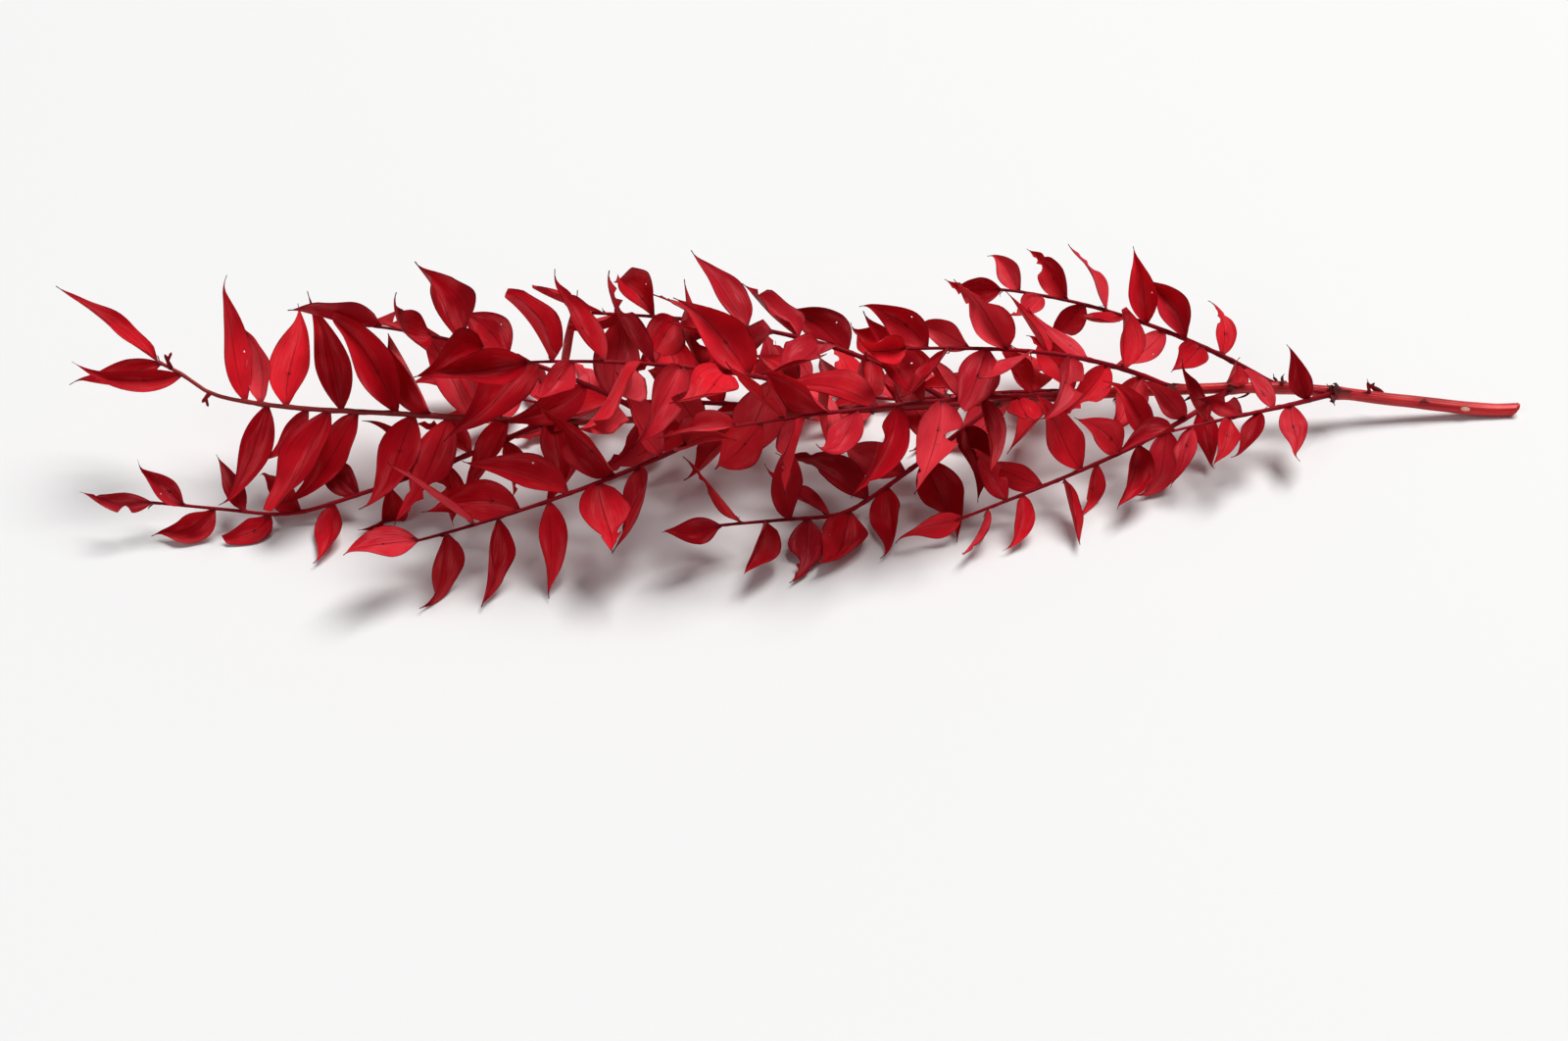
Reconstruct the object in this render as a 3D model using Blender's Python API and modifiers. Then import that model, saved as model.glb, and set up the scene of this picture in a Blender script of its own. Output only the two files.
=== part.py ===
"""A dried and dyed ruscus stem, cut and laid down on a flat surface.

The main stem runs along X: its cut end is at +X and its leafy tip at -X. Leafy side
shoots grow from it all round, and each side shoot carries its blades in two rows.
The lowest blades and the cut end touch the surface, which is the plane z = 0.
"""

import math
import random

import bmesh
import bpy
from mathutils import Matrix, Vector
from mathutils.bvhtree import BVHTree

MM = 0.001
UP = Vector((0, 0, 1))

# Main stem: points on its axis in mm, from the cut end to the tip
STEM_KNOTS = [
    (308, 44, 2.3),
    (290, 43, 3.0),
    (250, 41, 10),
    (200, 36, 20),
    (140, 25, 27),
    (60, 10, 32),
    (-30, -2, 35),
    (-110, -9, 37),
    (-176, -9, 41),
    (-220, -6, 42),
    (-250, -2, 45),
    (-264, 3, 52),
    (-275, 6, 57),
]
CENTRING = Vector((3.2, 2.0, 0)) * MM
STEM_BUTT_RADIUS = 3.0 * MM
STEM_TIP_RADIUS = 0.75 * MM
STEM_TAPER = 0.85
JOINT_SWELL = 0.22
JOINT_LENGTH = 4 * MM
BUTT_SLANT = math.radians(52)
BUTT_TRIM = 4 * MM
CUTTER_SIZE = 40 * MM

# Blades borne by the main stem itself: distance back from its tip (mm), side of the stem
# (1 is up and -Y, -1 the other), length and width (mm), opening angle and tilt (degrees)
TIP_BLADES = [
    (0, 1, 50, 11, 12, 46),
    (2, -1, 38, 12, 46, 18),
    (12, -1, 46, 12, 54, -24),
    (41, 1, 53, 15, 60, 22),
    (47, 1, 36, 14, 94, -24),
    (50, -1, 49, 15, 80, -30),
    (58, 1, 48, 17, 80, 6),
    (67, -1, 30, 13, 70, 40),
    (76, -1, 61, 22, 70, 2),
    (81, 1, 51, 17, 78, 16),
    (88, -1, 52, 15, 62, 24),
    (104, 1, 60, 21, 68, 2),
    (111, -1, 46, 18, 72, -16),
    (118, 1, 44, 16, 60, -32),
    (126, -1, 51, 18, 74, 10),
    (134, 1, 50, 18, 64, 16),
    (147, 1, 48, 18, 66, -12),
    (150, -1, 42, 15, 76, 20),
    (162, 1, 46, 17, 60, 26),
    (168, -1, 38, 16, 74, -10),
    (178, -1, 40, 16, 66, 14),
]
TIP_FACE = Vector((0.06, -0.74, 0.67))

# Side shoots: distance along the stem from the cut end (mm), direction round the stem
# (degrees: 0 up, 90 towards -Y, -90 towards +Y), opening angle (degrees), length (mm),
# how far it turns along the stem (1 leaves a third of the opening), blade length and
# distance between blades (mm)
SIDE_SHOOTS = [
    (86, 80, 36, 92, 0.9, 27, 8.6),
    (112, -56, 34, 130, 0.9, 31, 9),
    (134, 104, 36, 142, 1.0, 33, 9.2),
    (160, 10, 34, 146, 1.0, 36, 9.6),
    (184, -118, 38, 150, 1.0, 37, 9.8),
    (210, 46, 40, 160, 1.2, 39, 10),
    (238, 132, 36, 142, 0.8, 39, 10),
    (258, -40, 38, 162, 1.2, 41, 10.2),
    (290, 18, 38, 158, 1.2, 43, 10.4),
    (318, -112, 40, 148, 1.0, 44, 10.6),
    (346, 92, 38, 150, 1.2, 44, 10.6),
    (384, -24, 36, 124, 1.0, 46, 11),
    (428, 146, 26, 172, 1.0, 30, 12.5),
]
SHOOT_SEED = 71
SHOOT_ROOT_RADIUS = 1.25 * MM
SHOOT_TIP_RADIUS = 0.55 * MM
SHOOT_STEP = 6 * MM
SHOOT_SAG = 0.24
SHOOT_CLEARANCE = 9 * MM
FIRST_BLADE = 20 * MM

# Blade outline and attitude
WIDEST = 0.38
ROOT_POWER = 0.88
NECK_HALF_WIDTH = 0.55 * MM
SIDE_BLADE_SLENDER = 2.3
BLADE_THICKNESS = 0.7 * MM
BLADE_REST = 0.36 * MM
PRESS_SOFTNESS = 1.6 * MM
SLIDE_HEIGHT = 7 * MM
MIDRIB_STEPS = 24
BLADE_STATIONS = (0, 0.2, 0.42, 0.7, 1)

# Clearance between blades
PROBE_OFFSET = 1.2 * MM
TUBE_MARGIN = 0.8 * MM
TRIES = [
    (0, 0), (18, 0), (-18, 0), (0, 14), (34, 0), (-34, 0), (18, -14), (-18, -14), (50, 8),
    (-50, 8), (66, 0), (-66, 0), (30, 24), (-30, 24), (84, 0), (-84, 0), (0, -30), (105, 0),
    (-105, 0), (130, 10), (-130, 10),
]

# Dry scale leaves and broken twigs on the bare stem: distance from the cut end, or back from
# the tip if below zero (mm), direction round the stem (degrees), length (mm), opening (degrees)
SCALES = [
    (40, 20, 7, 24), (62, -75, 9, 30), (78, 50, 8, 34), (99, -20, 8, 28), (124, 150, 7, 40),
    (149, 95, 7, 36), (226, -150, 7, 40), (278, 100, 6, 45), (400, 60, 6, 50),
]
SCALE_SLENDER = 2.6
STUBS = [(70, 4, 9, 62), (104, -120, 8, 70), (174, 140, 9, 60), (-7, 10, 8, 60), (-26, 160, 6, 70)]
STUB_ROOT_RADIUS = 1.0 * MM
STUB_TIP_RADIUS = 0.75 * MM

FITTING_GAP = 0.35 * MM
WELD = 0.02 * MM
STEM_RING_STEP = 13 * MM
SHOOT_RING_STEP = 16 * MM


def smooth_route(knots, step):
    """Points a step apart along the smooth curve through the knots."""
    points = [Vector(k) for k in knots]
    ends = [2 * points[0] - points[1], *points, 2 * points[-1] - points[-2]]
    fine = []
    for a, b, c, d in zip(ends, ends[1:], ends[2:], ends[3:]):
        for i in range(20):
            t = i / 20
            fine.append(
                0.5 * (2 * b + (c - a) * t + (2 * a - 5 * b + 4 * c - d) * t * t
                       + (3 * b - a - 3 * c + d) * t ** 3)
            )
    fine.append(points[-1])
    spaced, gone = [fine[0]], 0.0
    for start, end in zip(fine, fine[1:]):
        length = (end - start).length
        while gone + length >= step:
            start = start.lerp(end, (step - gone) / length)
            spaced.append(start)
            length = (end - start).length
            gone = 0.0
        gone += length
    if gone > step / 2:
        spaced.append(fine[-1])
    return spaced


class Axis:
    """A stem or twig: points a step apart, read by the distance along them."""

    def __init__(self, points, step, root_radius, tip_radius, taper):
        self.points = points
        self.step = step
        self.length = step * (len(points) - 1)
        self.radii = (root_radius, tip_radius, taper)

    def at(self, distance):
        """The point at that distance and the direction there."""
        place = min(max(distance / self.step, 0), len(self.points) - 1.001)
        i = int(place)
        start, end = self.points[i], self.points[i + 1]
        return start.lerp(end, place - i), (end - start).normalized()

    def radius(self, distance):
        root, tip, taper = self.radii
        return root + (tip - root) * (distance / self.length) ** taper


def across(direction, towards):
    """The part of towards that is square to direction, as a unit vector."""
    return (towards - direction * towards.dot(direction)).normalized()


def round_stem(direction, degrees):
    """The direction square to the stem, degrees round from the top towards -Y."""
    top = across(direction, UP)
    return Matrix.Rotation(-math.radians(degrees), 3, direction) @ top


def turned(vector, degrees, axis):
    return Matrix.Rotation(math.radians(degrees), 3, axis) @ vector


def grow_stem():
    knots = [Vector(k) * MM + CENTRING for k in STEM_KNOTS]
    points = smooth_route(knots, SHOOT_STEP)
    return Axis(points, SHOOT_STEP, STEM_BUTT_RADIUS, STEM_TIP_RADIUS, STEM_TAPER)


def grow_shoot(stem, row, rng):
    """The axis of a side shoot: it leans towards the stem's tip, sags, and slides on the surface."""
    distance, round_angle, opening, length, lean = row[:5]
    root, along = stem.at(distance * MM)
    out = round_stem(along, round_angle)
    heading = (along * math.cos(math.radians(opening)) + out * math.sin(math.radians(opening)))
    steps = round(length * MM / SHOOT_STEP)
    points, bend = [root], rng.uniform(-18, 18)
    for i in range(steps):
        _, along = stem.at(distance * MM + (i + 1) * SHOOT_STEP * 0.8)
        heading = heading.lerp(along, lean / steps)
        heading = heading.lerp(-UP, SHOOT_SAG / steps)
        heading = turned(heading, bend / steps * math.sin(i / steps * 1.5 * math.pi), UP)
        low = SHOOT_CLEARANCE - points[-1].z
        if low > 0:
            heading.z += low / SHOOT_CLEARANCE * 0.5
        heading.normalize()
        points.append(points[-1] + heading * SHOOT_STEP)
    return Axis(points, SHOOT_STEP, SHOOT_ROOT_RADIUS, SHOOT_TIP_RADIUS, 1.0)


def width_share(t):
    """Half width at t from root to tip, as a share of the greatest: drawn out to a point."""
    fall = ROOT_POWER * (1 - WIDEST) / WIDEST
    return (t / WIDEST) ** ROOT_POWER * ((1 - t) / (1 - WIDEST)) ** fall


class Blade:
    """One leaf-like blade: where it grows, how it points, and how it bends."""

    def __init__(self, root, heading, face, length, width, rng):
        self.root, self.heading, self.face = root, heading, across(heading, face)
        self.length, self.half_width = length, width / 2
        self.sickle = rng.gauss(30, 11)
        self.recurve = rng.gauss(9, 6)
        self.arch = rng.gauss(8, 24)
        self.twist = rng.gauss(0, 22)
        self.fold = math.radians(rng.uniform(6, 38))
        self.side = 1
        self.tone = rng.random()
        self.line = None

    def turn(self, roll, lift, along):
        """A copy turned about the twig that bears it, and lifted towards or from the twig."""
        made = object.__new__(Blade)
        made.__dict__.update(self.__dict__)
        made.heading = turned(self.heading, roll, along)
        made.face = turned(self.face, roll, along)
        hinge = along.cross(made.heading).normalized()
        made.heading = turned(made.heading, lift, hinge)
        made.face = across(made.heading, turned(made.face, lift, hinge))
        made.line = None
        return made

    def midrib(self):
        """Points and directions down the middle of the blade, which slides on the surface."""
        if self.line:
            return self.line
        point, heading, face = self.root.copy(), self.heading.copy(), self.face.copy()
        self.line = [(point.copy(), heading.copy(), face.copy())]
        for i in range(MIDRIB_STEPS):
            t = (i + 0.5) / MIDRIB_STEPS
            sweep = self.sickle - self.recurve * math.pi * math.sin(2 * math.pi * t)
            heading = turned(heading, self.side * sweep / MIDRIB_STEPS, face)
            hinge = heading.cross(face)
            heading = turned(heading, self.arch / MIDRIB_STEPS, hinge)
            face = turned(face, self.arch / MIDRIB_STEPS, hinge)
            face = turned(face, self.twist / MIDRIB_STEPS, heading)
            if heading.z < 0 and point.z < SLIDE_HEIGHT:
                heading.z *= max(point.z / SLIDE_HEIGHT, 0) ** 0.5
                heading.normalize()
                face = across(heading, face)
            point = point + heading * self.length / MIDRIB_STEPS
            self.line.append((point.copy(), heading.copy(), face.copy()))
        return self.line

    def point(self, t, u, offset=0.0):
        """A point of the blade: t from root to tip, u from -1 to 1 across."""
        line = self.midrib()
        place = min(t * MIDRIB_STEPS, MIDRIB_STEPS - 0.001)
        i = int(place)
        middle = line[i][0].lerp(line[i + 1][0], place - i)
        heading = line[i][1].lerp(line[i + 1][1], place - i)
        face = line[i][2].lerp(line[i + 1][2], place - i)
        half = self.half_width * width_share(t)
        if t < WIDEST:
            half = max(half, NECK_HALF_WIDTH)
        side = face.cross(heading)
        made = middle + side * (u * half * math.cos(self.fold))
        made += face * (abs(u) * half * math.sin(self.fold) + offset)
        made.z = BLADE_REST + pressed(made.z - BLADE_REST)
        return made

    def rows(self, offset=0.0):
        return [[self.point(t, u, offset) for u in (-1, 0, 1)] for t in BLADE_STATIONS]


def pressed(height):
    """A height above the surface, where what would sink below it is pressed flat on it."""
    return (height + math.sqrt(height * height + PRESS_SOFTNESS * PRESS_SOFTNESS)) / 2


class Body:
    """A shape to keep clear of, with a ball round it for a first quick test."""

    def __init__(self, points, faces):
        self.tree = BVHTree.FromPolygons(points, faces)
        self.middle = sum(points, Vector()) / len(points)
        self.reach = max((p - self.middle).length for p in points)

    def near(self, other):
        return (self.middle - other.middle).length < self.reach + other.reach

    def crosses(self, other):
        return self.near(other) and bool(self.tree.overlap(other.tree))


def blade_body(blade, offset=0.0):
    rows = blade.rows(offset)
    points = [p for row in rows for p in row]
    faces = []
    for i in range(len(rows) - 1):
        for j in range(2):
            a = i * 3 + j
            faces += [(a, a + 1, a + 3), (a + 1, a + 4, a + 3)]
    return Body(points, faces)


def axis_body(axis, more):
    """A stem or twig as a six-sided tube that is wider by more."""
    points, faces = [], []
    for i, point in enumerate(axis.points):
        _, along = axis.at(i * axis.step)
        side = across(along, UP if abs(along.z) < 0.9 else Vector((1, 0, 0)))
        for k in range(6):
            points.append(point + turned(side, 60 * k, along) * (axis.radius(i * axis.step) + more))
    for i in range(len(axis.points) - 1):
        for k in range(6):
            a, b = 6 * i + k, 6 * i + (k + 1) % 6
            faces += [(a, b, a + 6), (b, b + 6, a + 6)]
    return Body(points, faces)


def clear_blade(blade, along, others, own):
    """The blade turned as little as it takes to clear the others, or None where it can't."""
    best = None
    for roll, lift in TRIES:
        tried = blade.turn(roll, lift, along)
        layers = [blade_body(tried, k * PROBE_OFFSET) for k in (-1, 0, 1)]
        if any(layer.crosses(other) for other in others for layer in layers):
            continue
        hits = sum(layers[1].crosses(other) for other in own)
        if best is None or hits < best[0]:
            best = (hits, tried)
        if hits == 0:
            break
    return best[1] if best else None


def blade_at(axis, distance, plane, side, opening, tilt, roll, size, width, rng):
    """A blade on one side of a twig, with the direction of the twig where it grows."""
    root, along = axis.at(distance)
    plane = across(along, plane)
    outward = along.cross(plane) * side
    heading = along * math.cos(math.radians(opening)) + outward * math.sin(math.radians(opening))
    heading = turned(heading, roll, along)
    blade = Blade(root, heading, turned(plane, tilt, heading), size, width, rng)
    blade.side = side
    return blade, along


def tip_blades(stem, rng):
    """The blades of the main stem itself."""
    return [
        blade_at(stem, stem.length - (back + 0.5) * MM, TIP_FACE, side, opening, tilt,
                 rng.gauss(0, 8), length * MM, width * MM, rng)
        for back, side, length, width, opening, tilt in TIP_BLADES
    ]


def shoot_blades(axis, face, drift, length, pitch, rng):
    """Blades in two rows along a side shoot, with one at its end."""
    made = []
    count = int((axis.length - FIRST_BLADE) / pitch) + 1
    side = rng.choice((-1, 1))
    for i in range(count):
        share = i / max(count - 1, 1)
        last = i == count - 1
        place = min(FIRST_BLADE + i * pitch + rng.uniform(-1.5, 1.5) * MM, axis.length - 1 * MM)
        _, along = axis.at(place)
        plane = turned(across(along, face), drift * (share - 0.5), along)
        opening = 10 if last else rng.gauss(76, 9) - 20 * share
        size = length * (1.08 - 0.34 * abs(share - 0.4) ** 1.2) * rng.uniform(0.84, 1.12)
        width = size / SIDE_BLADE_SLENDER * rng.uniform(0.85, 1.15)
        made.append(blade_at(axis, place, plane, side, opening, rng.gauss(0, 30),
                             rng.gauss(0, 18), size, width, rng))
        side = -side
    return made


def branching(stem, place, round_angle, opening):
    """Where something grows from the stem: the point, the way out, the heading, the radius."""
    distance = place * MM if place >= 0 else stem.length + place * MM
    root, along = stem.at(distance)
    out = round_stem(along, round_angle)
    heading = along * math.cos(math.radians(opening)) + out * math.sin(math.radians(opening))
    return root, out, heading, stem.radius(distance)


def scale_blade(stem, row, rng):
    """A small dry scale that lies close along the stem."""
    place, round_angle, length, opening = row
    root, out, heading, radius = branching(stem, place, round_angle, opening)
    blade = Blade(root + out * radius * 0.3, heading, out, (length + 3) * MM,
                  length / SCALE_SLENDER * MM, rng)
    blade.arch, blade.fold = -20, math.radians(30)
    return blade


def stub_axis(stem, row):
    """A broken twig on the stem."""
    place, round_angle, length, opening = row
    root, _, heading, _ = branching(stem, place, round_angle, opening)
    tip = root + heading * length * MM
    return Axis([root, tip], length * MM, STUB_ROOT_RADIUS, STUB_TIP_RADIUS, 1.0)


def grow():
    """The stem with its stubs, and for the stem and each side shoot its axis and its blades."""
    stem = grow_stem()
    rng = random.Random(SHOOT_SEED - 2)
    scales = [scale_blade(stem, row, rng) for row in SCALES]
    stubs = [stub_axis(stem, row) for row in STUBS]
    shoots = []
    for n, row in enumerate(SIDE_SHOOTS):
        rng = random.Random(SHOOT_SEED + n)
        shoots.append((grow_shoot(stem, row, rng), row, rng))
    tubes = [axis_body(axis, TUBE_MARGIN) for axis in [stem] + [shoot[0] for shoot in shoots]]
    placed = [axis_body(stub, TUBE_MARGIN) for stub in stubs] + [blade_body(b) for b in scales]

    def settle(wanted, own_tube):
        kept, own = [], []
        others = placed + [tube for tube in tubes if tube is not own_tube]
        for blade, along in wanted:
            found = clear_blade(blade, along, others, own)
            if found:
                kept.append(found)
                own.append(blade_body(found))
        placed.extend(own)
        return kept

    blades = settle(tip_blades(stem, random.Random(SHOOT_SEED - 1)), tubes[0])
    grown = [(stem, blades + scales)]
    for (axis, row, rng), tube in zip(shoots, tubes[1:]):
        out = round_stem(stem.at(row[0] * MM)[1], row[1])
        face = out * 0.5 + UP - Vector((0, 0.5, 0)) + Vector([rng.gauss(0, 0.25) for _ in range(3)])
        wanted = shoot_blades(axis, face, rng.uniform(-50, 50), row[5] * MM, row[6] * MM, rng)
        grown.append((axis, settle(wanted, tube)))
    return stubs, grown


def clear_scene():
    for obj in list(bpy.data.objects):
        bpy.data.objects.remove(obj)


def plain_material(name, colour, roughness):
    material = bpy.data.materials.new(name)
    material.use_nodes = True
    shader = material.node_tree.nodes["Principled BSDF"]
    shader.inputs["Base Color"].default_value = (*colour, 1)
    shader.inputs["Roughness"].default_value = roughness
    return material


def add_collection(name):
    made = bpy.data.collections.new(name)
    bpy.context.scene.collection.children.link(made)
    return made


def tube_mesh(name, points, radii, sides_level, collection):
    """A closed mesh tube through the points, made from a bevelled curve."""
    curve = bpy.data.curves.new(name + "_line", "CURVE")
    curve.dimensions = "3D"
    curve.bevel_depth = 1.0
    curve.bevel_resolution = sides_level
    curve.use_fill_caps = True
    spline = curve.splines.new("POLY")
    spline.points.add(len(points) - 1)
    for knot, point, radius in zip(spline.points, points, radii):
        knot.co = (*point, 1)
        knot.radius = radius
    guide = bpy.data.objects.new(name + "_line", curve)
    collection.objects.link(guide)
    graph = bpy.context.evaluated_depsgraph_get()
    mesh = bpy.data.meshes.new_from_object(guide.evaluated_get(graph))
    bpy.data.objects.remove(guide)
    work = bmesh.new()
    work.from_mesh(mesh)
    bmesh.ops.remove_doubles(work, verts=work.verts, dist=WELD)
    bmesh.ops.recalc_face_normals(work, faces=work.faces)
    work.to_mesh(mesh)
    work.free()
    obj = bpy.data.objects.new(name, mesh)
    collection.objects.link(obj)
    return obj


def axis_mesh(name, axis, every, sides_level, collection, swellings=(), more=0.0):
    """A stem or twig as a tube, thicker at its joints and by more all along."""
    places = [i * every for i in range(int(axis.length / every))] + [axis.length]
    for place in swellings:
        places = [p for p in places if abs(p - place) > JOINT_LENGTH * 0.8]
        places += [place - JOINT_LENGTH / 2, place, place + JOINT_LENGTH / 2]
    places.sort()
    points = [axis.at(p)[0] for p in places]
    radii = [
        axis.radius(p) * (1 + JOINT_SWELL * any(abs(p - s) < 1e-6 for s in swellings)) + more
        for p in places
    ]
    return tube_mesh(name, points, radii, sides_level, collection)


def blade_mesh(name, blade, collection):
    """A blade as a folded sheet, split alike on both faces, with a real thickness."""
    mesh = bpy.data.meshes.new(name)
    work = bmesh.new()
    cells = len(BLADE_STATIONS) - 1
    bmesh.ops.create_grid(work, x_segments=cells, y_segments=2, size=0.5)
    for vert in work.verts:
        station = BLADE_STATIONS[round((vert.co.x + 0.5) * cells)]
        vert.co = blade.point(station, 2 * vert.co.y)
    bmesh.ops.remove_doubles(work, verts=work.verts, dist=WELD)
    bmesh.ops.triangulate(work, faces=work.faces)
    work.to_mesh(mesh)
    work.free()
    obj = bpy.data.objects.new(name, mesh)
    collection.objects.link(obj)
    sheet = obj.modifiers.new("Thickness", "SOLIDIFY")
    sheet.thickness = BLADE_THICKNESS
    sheet.offset = 0
    return obj


def join(obj, pieces):
    """Fuses a collection of pieces into obj and removes them."""
    union = obj.modifiers.new("Join", "BOOLEAN")
    union.operation = "UNION"
    union.operand_type = "COLLECTION"
    union.collection = pieces
    union.solver = "EXACT"
    apply_modifiers(obj)
    for piece in list(pieces.objects):
        bpy.data.objects.remove(piece)


def apply_modifiers(obj):
    graph = bpy.context.evaluated_depsgraph_get()
    mesh = bpy.data.meshes.new_from_object(obj.evaluated_get(graph))
    obj.modifiers.clear()
    obj.data = mesh


def cut(obj, cutter):
    """Takes the cutter's shape out of obj and removes the cutter."""
    cutter.hide_render = True
    cutter.display_type = "WIRE"
    difference = obj.modifiers.new("Cut", "BOOLEAN")
    difference.operation = "DIFFERENCE"
    difference.object = cutter
    apply_modifiers(obj)
    bpy.data.objects.remove(cutter)


def box_cutter(centre, turn, collection):
    mesh = bpy.data.meshes.new("cutter")
    work = bmesh.new()
    bmesh.ops.create_cube(work, size=CUTTER_SIZE)
    work.to_mesh(mesh)
    work.free()
    obj = bpy.data.objects.new("cutter", mesh)
    obj.location = centre
    obj.rotation_euler = turn
    collection.objects.link(obj)
    bpy.context.view_layer.update()
    return obj


def build_stem(stem, blades, stubs, parts, pieces, cutters):
    joints = [row[0] * MM for row in SIDE_SHOOTS]
    obj = axis_mesh("main_stem", stem, STEM_RING_STEP, 2, parts, joints)
    for n, blade in enumerate(blades):
        blade_mesh(f"piece_{n}", blade, pieces)
    for n, stub in enumerate(stubs):
        axis_mesh(f"stub_{n}", stub, stub.length, 1, pieces)
    join(obj, pieces)
    butt, along = stem.at(0)
    reach = CUTTER_SIZE / 2 / math.sin(BUTT_SLANT)
    slant = box_cutter(butt - along * (reach - BUTT_TRIM), (0, math.pi / 2 - BUTT_SLANT, 0), cutters)
    cut(obj, slant)
    floor = box_cutter(butt + Vector((-10 * MM, 0, -CUTTER_SIZE / 2 - butt.z)), (0, 0, 0), cutters)
    cut(obj, floor)
    return obj


def build_shoot(name, axis, blades, stem, parts, pieces, cutters):
    obj = axis_mesh(name, axis, SHOOT_RING_STEP, 1, parts)
    for n, blade in enumerate(blades):
        blade_mesh(f"piece_{n}", blade, pieces)
    join(obj, pieces)
    joints = [row[0] * MM for row in SIDE_SHOOTS]
    around = axis_mesh("cutter", stem, STEM_RING_STEP, 2, cutters, joints, FITTING_GAP)
    cut(obj, around)
    return obj


def main():
    clear_scene()
    parts = add_collection("ruscus_stem")
    pieces = add_collection("pieces")
    cutters = add_collection("cutters")
    stem_red = plain_material("stem_red", (0.30, 0.012, 0.022), 0.45)
    blade_red = plain_material("blade_red", (0.34, 0.008, 0.016), 0.6)
    stubs, grown = grow()
    stem, blades = grown[0]
    made = build_stem(stem, blades, stubs, parts, pieces, cutters)
    made.data.materials.clear()
    made.data.materials.append(stem_red)
    for n, (axis, blades) in enumerate(grown[1:], 1):
        made = build_shoot(f"side_shoot_{n:02d}", axis, blades, stem, parts, pieces, cutters)
        made.data.materials.clear()
        made.data.materials.append(blade_red)


main()
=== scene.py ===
"""The looks of a dried and dyed ruscus stem that lies on a pale floor.

The stem is grown here by the same rule as its solids, so every blade, twig and scale stands
where its solid stands. Each is then given its real form and finish: thin folded blades with
veins, waved and torn edges and hair-fine points, ridged twigs and stalk, bracts, and a cut end.
"""

import math
import random

import bmesh
import bpy
from mathutils import Matrix, Vector, noise
from mathutils.bvhtree import BVHTree


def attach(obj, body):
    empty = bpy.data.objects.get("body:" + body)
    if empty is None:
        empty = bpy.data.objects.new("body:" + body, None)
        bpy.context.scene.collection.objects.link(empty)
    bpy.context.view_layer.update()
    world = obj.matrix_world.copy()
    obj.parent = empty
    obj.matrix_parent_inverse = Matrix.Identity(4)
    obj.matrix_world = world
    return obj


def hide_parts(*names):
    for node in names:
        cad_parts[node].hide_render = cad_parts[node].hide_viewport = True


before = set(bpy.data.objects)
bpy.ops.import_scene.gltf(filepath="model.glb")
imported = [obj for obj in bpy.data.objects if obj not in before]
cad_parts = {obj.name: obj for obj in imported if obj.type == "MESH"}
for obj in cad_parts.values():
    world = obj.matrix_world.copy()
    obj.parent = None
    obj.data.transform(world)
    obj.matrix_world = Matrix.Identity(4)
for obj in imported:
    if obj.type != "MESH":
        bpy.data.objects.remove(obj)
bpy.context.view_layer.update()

MM = 0.001
UP = Vector((0, 0, 1))
SIDEWAYS = Vector((1, 0, 0))

# Main stem: points on its axis in mm, from the cut end to the tip
STEM_KNOTS = [
    (308, 44, 2.3),
    (290, 43, 3.0),
    (250, 41, 10),
    (200, 36, 20),
    (140, 25, 27),
    (60, 10, 32),
    (-30, -2, 35),
    (-110, -9, 37),
    (-176, -9, 41),
    (-220, -6, 42),
    (-250, -2, 45),
    (-264, 3, 52),
    (-275, 6, 57),
]
CENTRING = Vector((3.2, 2.0, 0)) * MM
STEM_BUTT_RADIUS = 3.0 * MM
STEM_TIP_RADIUS = 0.75 * MM
STEM_TAPER = 0.85
JOINT_SWELL = 0.286
BUTT_SLANT = math.radians(52)
BUTT_TRIM = 4 * MM
CUTTER_SIZE = 40 * MM

# Blades borne by the main stem itself: distance back from its tip (mm), side of the stem
# (1 is up and -Y, -1 the other), length and width (mm), opening angle and tilt (degrees)
TIP_BLADES = [
    (0, 1, 50, 11, 12, 46),
    (2, -1, 38, 12, 46, 18),
    (12, -1, 46, 12, 54, -24),
    (41, 1, 53, 15, 60, 22),
    (47, 1, 36, 14, 94, -24),
    (50, -1, 49, 15, 80, -30),
    (58, 1, 48, 17, 80, 6),
    (67, -1, 30, 13, 70, 40),
    (76, -1, 61, 22, 70, 2),
    (81, 1, 51, 17, 78, 16),
    (88, -1, 52, 15, 62, 24),
    (104, 1, 60, 21, 68, 2),
    (111, -1, 46, 18, 72, -16),
    (118, 1, 44, 16, 60, -32),
    (126, -1, 51, 18, 74, 10),
    (134, 1, 50, 18, 64, 16),
    (147, 1, 48, 18, 66, -12),
    (150, -1, 42, 15, 76, 20),
    (162, 1, 46, 17, 60, 26),
    (168, -1, 38, 16, 74, -10),
    (178, -1, 40, 16, 66, 14),
]
TIP_FACE = Vector((0.06, -0.74, 0.67))

# Side shoots: distance along the stem from the cut end (mm), direction round the stem
# (degrees: 0 up, 90 towards -Y, -90 towards +Y), opening angle (degrees), length (mm),
# how far it turns along the stem (1 leaves a third of the opening), blade length and
# distance between blades (mm)
SIDE_SHOOTS = [
    (86, 80, 36, 92, 0.9, 27, 8.6),
    (112, -56, 34, 130, 0.9, 31, 9),
    (134, 104, 36, 142, 1.0, 33, 9.2),
    (160, 10, 34, 146, 1.0, 36, 9.6),
    (184, -118, 38, 150, 1.0, 37, 9.8),
    (210, 46, 40, 160, 1.2, 39, 10),
    (238, 132, 36, 142, 0.8, 39, 10),
    (258, -40, 38, 162, 1.2, 41, 10.2),
    (290, 18, 38, 158, 1.2, 43, 10.4),
    (318, -112, 40, 148, 1.0, 44, 10.6),
    (346, 92, 38, 150, 1.2, 44, 10.6),
    (384, -24, 36, 124, 1.0, 46, 11),
    (428, 146, 26, 172, 1.0, 30, 12.5),
]
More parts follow.
